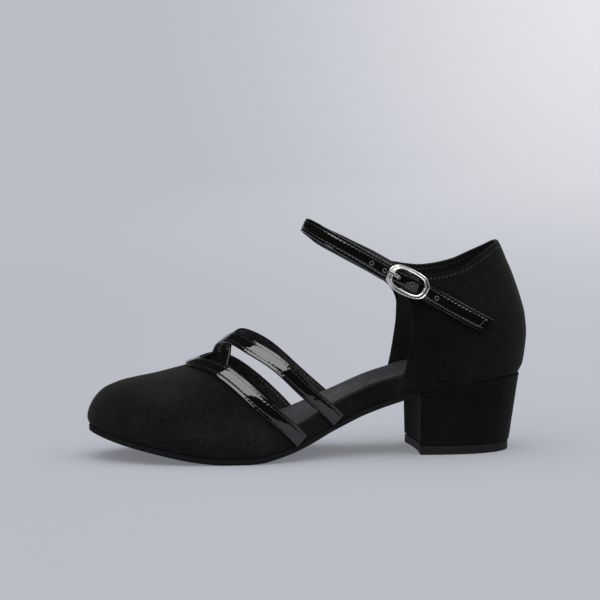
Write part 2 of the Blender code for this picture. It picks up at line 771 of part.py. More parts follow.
# Its free loop: station, share of half the loop's width, share of the strap's height and width
Loop = namedtuple("Loop", "station across height width")
LOOP = [
    Loop(0.6585, -1.070, 0.806, 0.98),
    Loop(0.6094, -1.010, 0.861, 0.95),
    Loop(0.5656, -0.930, 0.911, 0.92),
    Loop(0.5239, -0.750, 0.958, 0.91),
    Loop(0.5032, -0.520, 0.982, 0.88),
    Loop(0.4916, -0.240, 0.997, 0.84),
    Loop(0.4893, 0.000, 0.996, 0.82),
    Loop(0.4940, 0.140, 0.990, 0.86),
    Loop(0.5135, 0.380, 0.970, 1.02),
    Loop(0.5334, 0.540, 0.945, 1.10),
    Loop(0.5732, 0.712, 0.905, 1.19),
    Loop(0.6118, 0.784, 0.866, 1.24),
    Loop(0.6492, 0.808, 0.829, 1.28),
]
# Its root, inside the medial counter
Root = namedtuple("Root", "station height width")
ROOT = [
    Root(0.6866, 0.788, 1.29),
    Root(0.7188, 0.754, 1.29),
]


def counter_offset(side, x, z, lift):
    """Point at this x and z, the lift being measured outwards from the counter's outer face."""
    return Vector((x, counter_side(side, x, z) + side * lift, z))


class AnklePath:
    """Middle line of the ankle strap by the length run from its tail, with its width."""

    def __init__(self):
        points = [counter_offset(LATERAL, x_of(row.station), row.height * ANKLE_HEIGHT,
                                 row.stack * BUCKLE_STACK) for row in TAIL]
        points += [Vector((x_of(row.station), row.across * ANKLE_LOOP_WIDTH / 2,
                           row.height * ANKLE_HEIGHT)) for row in LOOP]
        inside = -WALL - GAP - ANKLE_THICKNESS / 2
        points += [counter_offset(MEDIAL, x_of(row.station), row.height * ANKLE_HEIGHT, inside)
                   for row in ROOT]
        widths = [1.0] * len(TAIL) + [row.width for row in LOOP + ROOT]
        runs = along_route(points)
        self.length = runs[-1]
        self.buckle = runs[len(TAIL) - 1]
        self.axes = [Bend([(run, point[k]) for run, point in zip(runs, points)]) for k in range(3)]
        self.width = Curve(list(zip(runs, widths)))

    def point(self, run):
        return Vector([axis(run) for axis in self.axes])

    def frame(self, run):
        """Middle point, direction towards the root, direction across the width, outward normal."""
        middle = self.point(run)
        along = (self.point(run + 0.0005) - self.point(run - 0.0005)).normalized()
        side = LATERAL if middle.y < 0 else MEDIAL
        x, z = middle.x, middle.z
        slope_x = (counter_side(side, x + 0.001, z) - counter_side(side, x - 0.001, z)) / 0.002
        slope_z = (counter_side(side, x, z + 0.001) - counter_side(side, x, z - 0.001)) / 0.002
        lean = Vector((math.sin(ANKLE_LEAN), 0, math.cos(ANKLE_LEAN)))
        leaned = Vector((lean.x, lean.x * slope_x + lean.z * slope_z, lean.z))
        up = lean.lerp(leaned, ease((x - x_of(0.62)) / 0.018))
        up = (up - along * up.dot(along)).normalized()
        return middle, along, up, up.cross(along)


def make_ankle_strap(finish, collection, cutters, path):
    steps = round(path.length / 0.0042)
    sections = []
    for number in range(steps + 1):
        run = path.length * number / steps
        middle, along, up, outward = path.frame(run)
        half = ANKLE_WIDTH * path.width(run) / 2
        slant = TAIL_SLANT / 2 * (1 - ease(number / 2))
        inner, outer = [], []
        for share in (-1.0, -0.88, 0.0, 0.88, 1.0):
            place = middle + up * share * half - along * slant * share
            depth = ANKLE_THICKNESS * (0.5 - (EDGE_ROUNDING if abs(share) == 1.0 else 0.0))
            inner.append(place - outward * depth)
            outer.append(place + outward * depth)
        sections.append((inner, outer))
    bm = bmesh.new()
    ribbon(bm, sections)
    strap = add_object("ankle_strap", bm, finish, collection)

    bm = bmesh.new()
    for number in range(-3, 3):
        middle, along, up, outward = path.frame(path.buckle + PRONG_REACH + number * HOLE_PITCH)
        turn = Matrix((along, -up, outward)).transposed().to_4x4()
        bmesh.ops.create_cone(bm, cap_ends=True, segments=12, radius1=HOLE_DIAMETER / 2,
                              radius2=HOLE_DIAMETER / 2, depth=3 * ANKLE_THICKNESS,
                              matrix=Matrix.Translation(middle) @ turn)
    use(strap, "DIFFERENCE", hidden(add_object("hole_cutter", bm, finish, cutters)), "holes")


# Buckle's frame round its opening, by the share of the way from its side to its end: heights of
# its underside and top as shares of the drop to the bar and of the frame's depth
Rim = namedtuple("Rim", "share drop crown")
RIM = [
    Rim(0.00, 1.00, 0.45),
    Rim(0.13, 0.62, 0.48),
    Rim(0.26, 0.22, 0.56),
    Rim(0.45, 0.04, 0.70),
    Rim(0.75, 0.00, 0.92),
    Rim(1.00, 0.00, 1.00),
]


def make_buckle_frame(finish, collection, cutters, place):
    """Oval frame over the strap, whose sides come down beside it to carry the bar under it."""
    drop, crown = column(RIM, "drop"), column(RIM, "crown")
    bm = bmesh.new()
    rings = []
    for i in range(48):
        angle = 2 * math.pi * i / 48
        c, s = math.cos(angle), math.sin(angle)
        rim = blend(BUCKLE_RIM, BUCKLE_END_RIM, c * c)
        low = FRAME_SEAT - drop(abs(c)) * (FRAME_SEAT + BAR_DEPTH + BAR_DIAMETER / 2)
        high = FRAME_SEAT + crown(abs(c)) * BUCKLE_DEPTH
        ring = []
        for inset, z in ((0.0, low), (0.0, high - 0.5 * BUCKLE_DEPTH * crown(abs(c))),
                         (0.3, high - 0.1 * BUCKLE_DEPTH), (0.6, high), (1.0, high - 0.2 * BUCKLE_DEPTH),
                         (1.0, low)):
            x = math.copysign(abs(c) ** (2 / BUCKLE_POWER), c) * (BUCKLE_LENGTH / 2 - inset * rim)
            y = math.copysign(abs(s) ** (2 / BUCKLE_POWER), s) * (BUCKLE_WIDTH / 2 - inset * rim)
            ring.append(bm.verts.new(place @ Vector((x, y, z))))
        rings.append(ring)
    for one, two in zip(rings, rings[1:] + rings[:1]):
        for a, b, c, d in zip(one, one[1:] + one[:1], two[1:] + two[:1], two):
            bm.faces.new((a, b, c, d))
    frame = add_object("buckle_frame", bm, finish, collection)

    bm = bmesh.new()
    lie = place @ Matrix.Translation((0, 0, -BAR_DEPTH)) @ Matrix.Rotation(math.pi / 2, 4, "X")
    bmesh.ops.create_cone(bm, cap_ends=True, segments=16, radius1=BAR_DIAMETER / 2,
                          radius2=BAR_DIAMETER / 2, depth=BUCKLE_WIDTH - BUCKLE_RIM, matrix=lie)
    use(frame, "UNION", hidden(add_object("buckle_bar", bm, finish, cutters)), "bar")


def make_prong(finish, collection, place):
    """Prong from the bar up through the strap's hole, lying on the frame's front end."""
    top = FRAME_SEAT + BUCKLE_DEPTH + GAP + PRONG_DIAMETER / 2
    route = [
        (BAR_DIAMETER / 2 + GAP, -BAR_DEPTH),
        (PRONG_REACH - 0.0014, -BAR_DEPTH),
        (PRONG_REACH - 0.0003, -BAR_DEPTH + 0.0009),
        (PRONG_REACH, -ANKLE_THICKNESS),
        (PRONG_REACH, ANKLE_THICKNESS),
        (PRONG_REACH + 0.0010, top - 0.0008),
        (PRONG_REACH + 0.0026, top),
        (BUCKLE_LENGTH / 2 + 0.0002, top),
    ]
    curve = bpy.data.curves.new("buckle_prong", "CURVE")
    curve.dimensions = "3D"
    line = curve.splines.new("POLY")
    line.points.add(len(route) - 1)
    for point, (x, z) in zip(line.points, route):
        point.co = (*(place @ Vector((x, 0, z))), 1)
    curve.bevel_depth = PRONG_DIAMETER / 2
    curve.bevel_resolution = 2
    curve.use_fill_caps = True
    curve.materials.append(finish)
    collection.objects.link(bpy.data.objects.new("buckle_prong", curve))


def make_chape(finish, collection, cutters, path, place):
    """Short strap on the counter that turns round the bar, with a slot for the prong."""
    _, along, up, outward = path.frame(path.buckle)
    bar = place @ Vector((0, 0, -BAR_DEPTH))
    hold = BAR_DIAMETER / 2 + GAP
    sections = []
    for i in range(6):
        middle, _, lift, _ = path.frame(path.buckle - CHAPE_LENGTH * (1 - i / 6.5))
        places = [middle + lift * share * CHAPE_WIDTH / 2 for share in (-1, 0, 1)]
        sections.append(([counter_offset(LATERAL, at.x, at.z, GAP) for at in places],
                         [counter_offset(LATERAL, at.x, at.z, GAP + CHAPE_THICKNESS) for at in places]))
    for i in range(13):
        angle = math.radians(blend(-90, 190, i / 12))
        ray = along * math.cos(angle) + outward * math.sin(angle)
        places = [bar + up * share * CHAPE_WIDTH / 2 for share in (-1, 0, 1)]
        sections.append(([at + ray * (hold + CHAPE_THICKNESS) for at in places],
                         [at + ray * hold for at in places]))
    bm = bmesh.new()
    ribbon(bm, sections)
    chape = add_object("buckle_chape", bm, finish, collection)

    slot = PRONG_DIAMETER + 2 * GAP
    bm = bmesh.new()
    spot = place @ Matrix.Translation((hold + CHAPE_THICKNESS / 2, 0, -BAR_DEPTH))
    bmesh.ops.create_cube(bm, size=1.0, matrix=spot @ Matrix.Diagonal((2 * CHAPE_THICKNESS, slot, slot, 1)))
    use(chape, "DIFFERENCE", hidden(add_object("slot_cutter", bm, finish, cutters)), "slot")


def main():
    for old in list(bpy.data.objects):
        bpy.data.objects.remove(old, do_unlink=True)
    parts = bpy.data.collections.new("ballroom_dance_shoe")
    cutters = bpy.data.collections.new("cutters")
    for made in (parts, cutters):
        bpy.context.scene.collection.children.link(made)
    suede = material("black_suede", (0.012, 0.012, 0.013), 0.95)
    sole_suede = material("sole_suede", (0.015, 0.015, 0.016), 0.9)
    sock = material("grey_sock", (0.06, 0.06, 0.065), 0.9)
    rubber = material("grey_rubber", (0.05, 0.05, 0.055), 0.7)
    patent = material("black_patent", (0.004, 0.004, 0.004), 0.08, coat=1.0)
    nickel = material("polished_nickel", (0.75, 0.74, 0.72), 0.12, metallic=1.0)

    make_outsole(sole_suede, parts)
    make_heel({"heel": suede, "lift": rubber}, parts, cutters)
    make_upper(suede, parts)
    make_insole(sock, parts)
    make_throat_strap(patent, parts)
    make_cross_straps(patent, parts, cutters)
    path = AnklePath()
    make_ankle_strap(patent, parts, cutters, path)
    middle, along, up, outward = path.frame(path.buckle)
    place = Matrix.Translation(middle) @ Matrix((along, -up, outward)).transposed().to_4x4()
    make_buckle_frame(nickel, parts, cutters, place)
    make_prong(nickel, parts, place)
    make_chape(patent, parts, cutters, path, place)


main()
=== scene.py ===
# %% [markdown]
# # Ballroom dance shoe
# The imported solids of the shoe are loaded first. They are flat facets with plain colours, and this
# script dresses them as a shoemaker's customer sees them: napped suede, mirror-bright patent straps
# with sewn rows, a nickel buckle, and a plain studio round it all. Each step says what the piece is
# on the real shoe, how it could be made, and why it is made this way.

import json
import math
from bisect import bisect_right
from collections import namedtuple

import bmesh
import bpy
from mathutils import Matrix, Vector

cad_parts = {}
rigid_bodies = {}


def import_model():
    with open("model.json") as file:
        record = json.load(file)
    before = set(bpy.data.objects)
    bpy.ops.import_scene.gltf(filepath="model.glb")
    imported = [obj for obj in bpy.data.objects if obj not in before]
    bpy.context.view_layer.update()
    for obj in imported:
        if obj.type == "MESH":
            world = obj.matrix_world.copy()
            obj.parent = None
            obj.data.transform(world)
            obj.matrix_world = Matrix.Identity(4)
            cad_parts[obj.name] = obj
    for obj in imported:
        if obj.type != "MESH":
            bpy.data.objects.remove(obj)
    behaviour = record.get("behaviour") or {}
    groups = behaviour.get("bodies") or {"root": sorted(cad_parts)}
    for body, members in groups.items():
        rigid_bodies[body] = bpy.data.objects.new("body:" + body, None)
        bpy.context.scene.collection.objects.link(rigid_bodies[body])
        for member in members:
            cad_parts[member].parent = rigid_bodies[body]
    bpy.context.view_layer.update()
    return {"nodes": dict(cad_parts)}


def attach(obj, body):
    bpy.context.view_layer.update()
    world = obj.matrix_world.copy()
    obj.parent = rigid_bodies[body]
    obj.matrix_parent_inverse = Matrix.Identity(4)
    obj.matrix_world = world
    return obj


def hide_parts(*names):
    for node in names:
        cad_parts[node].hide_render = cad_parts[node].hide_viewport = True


for leftover in list(bpy.data.objects):
    bpy.data.objects.remove(leftover, do_unlink=True)
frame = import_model()
bpy.ops.object.select_all(action="DESELECT")
print("solids:", sorted(frame["nodes"]))

# %% [markdown]
# ## Camera
# The photo is taken from just in front of the shoe's side and a little above it, with a long lens
# that keeps its lines nearly parallel. A camera object placed on a sphere round the shoe gives the
# same view, and the lens is set from the photo's width, so the shoe fills the frame as it does there.

# %% Camera at the photo's angle
AIM = Vector((-0.0051, 0.0, 0.087))
CAMERA_TURN, CAMERA_RISE, CAMERA_DISTANCE = math.radians(-9), math.radians(6), 1.2
FRAMES_PER_METRE = 2118 / 600
outwards = Vector((math.sin(CAMERA_TURN) * math.cos(CAMERA_RISE),
                   -math.cos(CAMERA_TURN) * math.cos(CAMERA_RISE),
                   math.sin(CAMERA_RISE)))
bpy.ops.object.camera_add(location=AIM + outwards * CAMERA_DISTANCE,
                          rotation=(-outwards).to_track_quat("-Z", "Y").to_euler())
camera = bpy.context.object
camera.name = "photo_camera"
camera.data.sensor_width = 36
camera.data.lens = 36 * FRAMES_PER_METRE
bpy.context.scene.camera = camera
print("lens:", round(camera.data.lens, 1), "mm")

# %% [markdown]
# ## Studio
# The shoe stands on a sheet of pale paper that curves up behind it, so no corner shows. A plane whose
# back edge is extruded upwards, with its fold bevelled wide, is that sheet.

# %% Paper sweep
PAPER_HALF_WIDTH, PAPER_FRONT, PAPER_BACK, PAPER_TOP = 6.0, -0.95, 3.4, 0.8
FOLD_WIDTH, FOLD_STEPS, EDGE_REACH = 0.7, 32, 0.01


def activate(piece):
    bpy.ops.object.select_all(action="DESELECT")
    piece.select_set(True)
    bpy.context.view_layer.objects.active = piece


def select_edges(piece, wanted):
    """Select only the edges whose ends are both wanted, in edit mode."""
    bpy.ops.mesh.select_all(action="DESELECT")
    mesh = bmesh.from_edit_mesh(piece.data)
    for line in mesh.edges:
        line.select = all(wanted(end.co) for end in line.verts)
    mesh.select_flush(True)
    bmesh.update_edit_mesh(piece.data)


bpy.ops.mesh.primitive_plane_add(size=1, location=(0, (PAPER_FRONT + PAPER_BACK) / 2, 0))
paper = bpy.context.object
paper.name = "paper_sweep"
paper.scale = (2 * PAPER_HALF_WIDTH, PAPER_BACK - PAPER_FRONT, 1)
bpy.ops.object.transform_apply(location=True, rotation=True, scale=True)
bpy.ops.object.mode_set(mode="EDIT")
select_edges(paper, lambda place: place.y > PAPER_BACK - EDGE_REACH)
bpy.ops.mesh.extrude_region_move(TRANSFORM_OT_translate={"value": (0, 0, PAPER_TOP)})
select_edges(paper, lambda place: place.y > PAPER_BACK - EDGE_REACH and place.z < EDGE_REACH)
bpy.ops.mesh.bevel(offset=FOLD_WIDTH, segments=FOLD_STEPS)
bpy.ops.object.mode_set(mode="OBJECT")
bpy.ops.object.shade_smooth()
print("paper sweep:", len(paper.data.polygons), "faces")

# %% [markdown]
# ## Shader nodes by short calls
# Every material below is a few nodes with values, joined by links. One call makes a node, sets it and
# fills its inputs, and the effects that come back often, such as noise or a change of range, have a
# call of their own. A recipe then reads like a list of what the surface shows.

# %% Calls for nodes
def fill(made, values):
    """Fill inputs by name or number: a socket is linked, and anything else is the input's value."""
    for key, value in values.items():
        if isinstance(value, bpy.types.NodeSocket):
            made.id_data.links.new(value, made.inputs[key])
        else:
            made.inputs[key].default_value = value
    return made


def node(tree, kind, values=None, **settings):
    """Shader node with its settings and filled inputs."""
    made = tree.nodes.new(kind)
    for key, value in settings.items():
        setattr(made, key, value)
    return fill(made, values or {})


def new_material(name):
    """Material with its node tree and its Principled shader."""
    made = bpy.data.materials.new(name)
    made.use_nodes = True
    return made, made.node_tree, made.node_tree.nodes["Principled BSDF"]


def own_place(tree):
    return node(tree, "ShaderNodeTexCoord").outputs["Object"]


def axes_of(tree, vector):
    return node(tree, "ShaderNodeSeparateXYZ", {0: vector}).outputs


def combine(tree, operation, a, b):
    return node(tree, "ShaderNodeMath", {0: a, 1: b}, operation=operation).outputs[0]


def combine_vectors(tree, operation, a, b):
    return node(tree, "ShaderNodeVectorMath", {0: a, 1: b}, operation=operation).outputs["Vector"]


def scaled(tree, colour, share):
    made = node(tree, "ShaderNodeVectorMath", {0: colour, "Scale": share}, operation="SCALE")
    return made.outputs["Vector"]


def mixed(tree, kind, share, a, b):
    values = {"Factor": share, "A": a, "B": b}
    return node(tree, "ShaderNodeMix", values, data_type=kind).outputs["Result"]


def remap(tree, value, low, high, to_low, to_high, way="LINEAR"):
    """Value taken from the range low..high to the range to_low..to_high, and held at its ends."""
    values = {"Value": value, "From Min": low, "From Max": high, "To Min": to_low, "To Max": to_high}
    return node(tree, "ShaderNodeMapRange", values, interpolation_type=way).outputs["Result"]


def noise(tree, place, scale, detail=4.0, roughness=0.55, distortion=0.0):
    values = {"Vector": place, "Scale": scale, "Detail": detail, "Roughness": roughness,
              "Distortion": distortion}
    return node(tree, "ShaderNodeTexNoise", values).outputs["Fac"]


def mottled(tree, place, scale, low, high, detail=2, roughness=0.55):
    """Noise whose usual range is stretched over low..high."""
    return remap(tree, noise(tree, place, scale, detail, roughness), 0.3, 0.7, low, high)


def bump(tree, height, strength, distance):
    values = {"Height": height, "Strength": strength, "Distance": distance}
    return node(tree, "ShaderNodeBump", values).outputs["Normal"]


print("calls for nodes are ready")

# %% [markdown]
# ## Paper
# The paper is matt, and near the shoe it gives off a share of its own colour, a painted light that
# softens the shadows there. Towards the back it gives off its own colour more and more evenly, so no
# horizon shows, and the brighter spot at the upper right is a painted pool of light, a soft round
# gradient in that glow. Both are fixed to the paper, not to the view.

# %% Paper's colour and glow
PAPER_COLOUR = (0.494, 0.511, 0.566)
# Share of the colour that the paper gives off near the shoe, and the stretch that makes it all of it
PAPER_GLOW, FAR_START, FAR_END = 0.30, 0.45, 1.70
# The spot, a painted pool of light: its middle, how far it slants back, its shares of X, Y and Z, its
# reach and its strength
GLOW_PLACE, GLOW_SLOPE, GLOW_STRETCH = (1.32, 3.4, 0.45), 0.25, (1.2, 0.30, 1.2)
GLOW_REACH, GLOW_STRENGTH, GLOW_COLOUR = 1.42, 0.30, (1.0, 0.95, 0.88)

material, tree, shader = new_material("pale_paper")
x, y, z = axes_of(tree, own_place(tree))
lit = remap(tree, y, FAR_START, FAR_END, 1 - PAPER_GLOW, 0.0, "SMOOTHSTEP")
even = remap(tree, y, FAR_START, FAR_END, PAPER_GLOW, 1.0, "SMOOTHSTEP")
slanted = node(tree, "ShaderNodeMath", {0: y, 1: -GLOW_SLOPE, 2: x}, operation="MULTIPLY_ADD")
sheared = node(tree, "ShaderNodeCombineXYZ", {"X": slanted.outputs[0], "Y": y, "Z": z}).outputs[0]
glow_x, glow_y, glow_z = GLOW_PLACE
middle = [place * stretch for place, stretch
          in zip((glow_x - GLOW_SLOPE * glow_y, glow_y, glow_z), GLOW_STRETCH)]
away = node(tree, "ShaderNodeVectorMath", operation="DISTANCE",
            values={0: combine_vectors(tree, "MULTIPLY", sheared, GLOW_STRETCH), 1: middle})
spot = remap(tree, away.outputs["Value"], GLOW_REACH, 0.0, 0.0, GLOW_STRENGTH, "SMOOTHSTEP")
own = combine_vectors(tree, "ADD", scaled(tree, GLOW_COLOUR, spot), scaled(tree, PAPER_COLOUR, even))
fill(shader, {"Base Color": scaled(tree, PAPER_COLOUR, lit), "Roughness": 0.9,
              "Specular IOR Level": 0.0, "Emission Color": own, "Emission Strength": 1.0})
paper.data.materials.append(material)
print("paper:", len(tree.nodes), "nodes")

# %% [markdown]
# ## Light
# Patent leather is a black mirror, so what it shows is the shape of the lamps. The straps carry one
# clear grey patch where they turn upwards, stay black below it, and catch the pale floor at their
# feet. One large soft box overhead and in front gives all three. It lights only mirrors, and the
# room, brighter above and at its sides, lights the matt surfaces softly, as in the photo.

# %% Soft box in an evenly lit room
BOX_HEIGHT, BOX_RADIANCE = 0.86, 3.7
BOX_LEFT, BOX_RIGHT, BOX_FRONT, BOX_REAR = -0.70, 0.85, -1.66, -0.09
# The room's light: from everywhere, from above and how fast that falls off, from the sides, and what
# mirrors show of it
ROOM_LOW, ROOM_TOP, ROOM_FALL, ROOM_SIDES, ROOM_REFLECTED = 0.14, 2.10, 4.0, 0.60, 0.02

centre = Vector(((BOX_LEFT + BOX_RIGHT) / 2, (BOX_FRONT + BOX_REAR) / 2, BOX_HEIGHT))
aim = Vector((centre.x, centre.y + 0.0001, 0))
bpy.ops.object.light_add(type="AREA", location=centre,
                         rotation=(aim - centre).to_track_quat("-Z", "Y").to_euler())
lamp = bpy.context.object
lamp.name = "mirrored_soft_box"
lamp.data.shape = "RECTANGLE"
lamp.data.size, lamp.data.size_y = BOX_RIGHT - BOX_LEFT, BOX_REAR - BOX_FRONT
lamp.data.energy = BOX_RADIANCE * math.pi * lamp.data.size * lamp.data.size_y
lamp.visible_camera = lamp.visible_diffuse = False

world = bpy.data.worlds.new("even_room")
world.use_nodes = True
tree = world.node_tree
rays = node(tree, "ShaderNodeLightPath").outputs
x, _, z = axes_of(tree, node(tree, "ShaderNodeTexCoord").outputs["Generated"])
above = combine(tree, "POWER", combine(tree, "MAXIMUM", z, 0.0), ROOM_FALL)
aside = combine(tree, "MULTIPLY", combine(tree, "MULTIPLY", x, x), ROOM_SIDES)
room = combine(tree, "ADD", combine(tree, "MULTIPLY", above, ROOM_TOP),
               combine(tree, "MULTIPLY", aside, combine(tree, "GREATER_THAN", z, 0.0)))
room = combine(tree, "ADD", room, ROOM_LOW)
level = mixed(tree, "FLOAT", rays["Is Glossy Ray"], room, ROOM_REFLECTED)
fill(tree.nodes["Background"], {
    "Color": mixed(tree, "RGBA", rays["Is Camera Ray"], (1, 1, 1, 1), (*PAPER_COLOUR, 1)),
    "Strength": mixed(tree, "FLOAT", rays["Is Camera Ray"], level, 1.0)})
bpy.context.scene.world = world
bpy.context.scene.view_settings.view_transform = "Standard"

# %% [markdown]
# ## Last
# A shoe is made on a last, a solid form of the foot, and every strap and seam is a line on it. The
# same last surface that shaped the solids is worked out here again from its named sizes and tables,
# so that dense straps and rows of stitches lie exactly where the solids are.

# %% Sizes of the last and the straps
LENGTH = 0.2514             # toe tip to the back of the counter
BALL_WIDTH = 0.078          # sole across the ball
WAIST_WIDTH = 0.0434        # sole across the arch
SEAT_WIDTH = 0.0532         # sole across the seat
TOE_SHIFT = 0.003           # toe tip towards the big toe
TOE_SPRING = 0.0159         # rise of the feather line at the toe
SEAT_RISE = 0.0327          # rise of the feather line from ball to breast
SEAT_CLIMB = 0.009          # further rise from the breast to the back
VAMP_HEIGHT = 0.0525        # ridge of the vamp where the throat strap starts
COUNTER_HEIGHT = 0.120      # top of the counter
COUNTER_CURVE = 0.0125      # how far the back line of the counter swings
COLLAR_WIDTH = 0.0408       # counter across its top, outside
LASTED_FULLNESS = 2.15      # superellipse power of the vamp's sections
HEEL_FULLNESS = 2.3         # superellipse power of the seat's round end
GAP = 0.0003
WALL = 0.0018
SOLE_THICKNESS = 0.0033
FEATHER_INSET = 0.0008      # upper inside the sole's edge
FOOTBED = 0.0125
SOCK_STANDS = 0.0008        # footbed above the waist band
TOE_BULGE = 0.0020
STRAP_THICKNESS = 0.0016
INSTEP_STRAP_WIDTH = 0.0088
CROSSING_LIFT = 0.0009      # upper strap above the lower one where they cross
TUCK_DROP = 0.0002          # tucked strap ends under the level of the last surface
ANKLE_WIDTH = 0.0096
ANKLE_THICKNESS = 0.0018
ANKLE_LOOP_WIDTH = 0.0500   # ankle loop across
ANKLE_HEIGHT = 0.1300       # middle of the strap at the front of its loop
ANKLE_LEAN = math.radians(25)
TAIL_SLANT = 0.0048
HOLE_PITCH = 0.0085
HOLE_DIAMETER = 0.0022
PRONG_REACH = 0.0054        # prong's hole ahead of the bar
BUCKLE_LENGTH = 0.0255
BUCKLE_WIDTH = 0.0153
BUCKLE_DEPTH = 0.0022
BUCKLE_POWER = 2.7
BAR_DIAMETER = 0.0017
PRONG_DIAMETER = 0.0014
CHAPE_THICKNESS = 0.0009
FRAME_SEAT = ANKLE_THICKNESS / 2 + GAP
BAR_DEPTH = ANKLE_THICKNESS / 2 + CHAPE_THICKNESS + 2 * GAP + BAR_DIAMETER / 2
BUCKLE_STACK = BAR_DEPTH + BAR_DIAMETER / 2 + CHAPE_THICKNESS + 2 * GAP
LATERAL, MEDIAL = -1, 1
print("last:", round(LENGTH * 1000, 1), "mm long,", BALL_WIDTH * 1000, "mm across the ball")

# %% [markdown]
# ## Curves
# A last has no straight line. A few measured places give its shape, and a curve runs through them. One
# kind never overshoots, as a height or a width needs, and the other bends evenly, as a strap's middle
# line does. Blender's curve objects could draw them, but a function gives any point a mesh asks for.

# %% Curves through short tables
class Curve:
    """Smooth curve through (place, value) rows that never overshoots between two rows."""

    def __init__(self, rows):
        self.places = [row[0] for row in rows]
        self.values = [row[1] for row in rows]
        steps = [b - a for a, b in zip(self.places, self.places[1:])]
        rises = [(b - a) / s for a, b, s in zip(self.values, self.values[1:], steps)]
        self.slopes = [rises[0]]
        for before, after in zip(rises, rises[1:]):
            level = before * after <= 0
            self.slopes.append(0.0 if level else 2 * before * after / (before + after))
        self.slopes.append(rises[-1])

    def __call__(self, place):
        place = min(max(place, self.places[0]), self.places[-1])
        i = min(bisect_right(self.places, place) - 1, len(self.places) - 2)
        step = self.places[i + 1] - self.places[i]
        u = (place - self.places[i]) / step
        start = (1 + 2 * u) * self.values[i] + u * step * self.slopes[i]
        end = (3 - 2 * u) * self.values[i + 1] + (u - 1) * step * self.slopes[i + 1]
        return (1 - u) ** 2 * start + u * u * end


class Bend:
    """Natural cubic spline through (place, value) rows, for lines that bend evenly."""

    def __init__(self, rows):
        self.places = [row[0] for row in rows]
        self.values = [row[1] for row in rows]
        count = len(rows)
        steps = [b - a for a, b in zip(self.places, self.places[1:])]
        upper, right = [0.0] * count, [0.0] * count
        for i in range(1, count - 1):
            jump = (self.values[i + 1] - self.values[i]) / steps[i]
            jump -= (self.values[i] - self.values[i - 1]) / steps[i - 1]
            pivot = 2 * (steps[i - 1] + steps[i]) - steps[i - 1] * upper[i - 1]
            upper[i] = steps[i] / pivot
            right[i] = (6 * jump - steps[i - 1] * right[i - 1]) / pivot
        self.bends = [0.0] * count
        for i in range(count - 2, 0, -1):
            self.bends[i] = right[i] - upper[i] * self.bends[i + 1]

    def __call__(self, place):
        i = min(max(bisect_right(self.places, place) - 1, 0), len(self.places) - 2)
        step = self.places[i + 1] - self.places[i]
        b = (place - self.places[i]) / step
        a = 1 - b
        sag = ((a ** 3 - a) * self.bends[i] + (b ** 3 - b) * self.bends[i + 1]) * step * step / 6
        return a * self.values[i] + b * self.values[i + 1] + sag


def rows_of(kind, rows):
    """Rows of a table as named tuples."""
    return [kind(*row) for row in rows]


def column(rows, name):
    """Curve of one named column of a table whose first column is the station."""
    return Curve([(row[0], getattr(row, name)) for row in rows])


def x_of(station):
    """Station 0 is the toe tip and station 1 the back of the counter."""
    return (station - 0.5) * LENGTH


def station_of(x):
    return x / LENGTH + 0.5


def blend(a, b, share):
    return a + (b - a) * share


def ease(share):
    share = min(max(share, 0.0), 1.0)
    return share * share * (3 - 2 * share)


half_way = Curve([(0.0, 0.0), (1.0, 1.0)])(0.5)
print("a curve half-way up a straight slope gives", half_way)

# %% [markdown]
# ## Lines of the last
# A maker measures a last at stations along its length. Each table holds one of its lines, as shares of
# the sizes above: the feather line where upper and sole meet, the ridge, the footbed, the counter and
# the topline. Shares are used because the lines then follow when a size changes.

# %% Tables of the last
# Stations of the sole's outline
SOLE_TIP, BREAST, SOLE_BACK = 0.004, 0.738, 0.985
TREAD_START, TREAD_END = 0.290, 0.340      # flat spot under the ball
Girth = namedtuple("Girth", "ball waist seat")
GIRTH_STATIONS = {LATERAL: Girth(0.352, 0.612, 0.830), MEDIAL: Girth(0.285, 0.600, 0.830)}

# Feather line, where upper meets sole: shares of toe spring, seat rise and seat climb
Feather = namedtuple("Feather", "station spring rise climb")
FEATHER = rows_of(Feather, (
    (0, 1, 0, 0), (0.034, 0.805, 0, 0), (0.074, 0.616, 0, 0), (0.114, 0.459, 0, 0),
    (0.154, 0.315, 0, 0), (0.193, 0.182, 0, 0), (0.233, 0.078, 0, 0), (TREAD_START, 0, 0, 0),
    (TREAD_END, 0, 0, 0), (0.372, 0, 0.018, 0), (0.412, 0, 0.085, 0), (0.452, 0, 0.174, 0),
    (0.492, 0, 0.297, 0), (0.531, 0, 0.44, 0), (0.571, 0, 0.575, 0), (0.611, 0, 0.712, 0),
    (0.651, 0, 0.826, 0), (0.69, 0, 0.908, 0), (0.738, 0, 1, 0), (0.794, 0, 1, 0.256),
    (0.868, 0, 1, 0.6), (0.95, 0, 1, 0.922), (1, 0, 1, 1)
))

# Ridge of the last, share of the vamp's height
Ridge = namedtuple("Ridge", "station height")
RIDGE = rows_of(Ridge, (
    (0.054, 0.781), (0.083, 0.827), (0.119, 0.863), (0.155, 0.895), (0.191, 0.937), (0.227, 0.982),
    (0.262, 1.044), (0.299, 1.158), (0.335, 1.29), (0.372, 1.415), (0.412, 1.543), (0.492, 1.752),
    (0.571, 1.924), (0.65, 2.057)
))

# Footbed's top above the feather line, share of its full thickness, and the toe bulge's share
Bed = namedtuple("Bed", "station footbed bulge")
BED = rows_of(Bed, (
    (0, 0.5, 1), (0.15, 0.56, 0.85), (0.3, 0.66, 0.7), (0.412, 0.86, 0.35), (0.48, 0.97, 0.08),
    (0.56, 1, 0), (0.74, 1, 0), (0.82, 0.92, 0), (1, 0.72, 0)
))

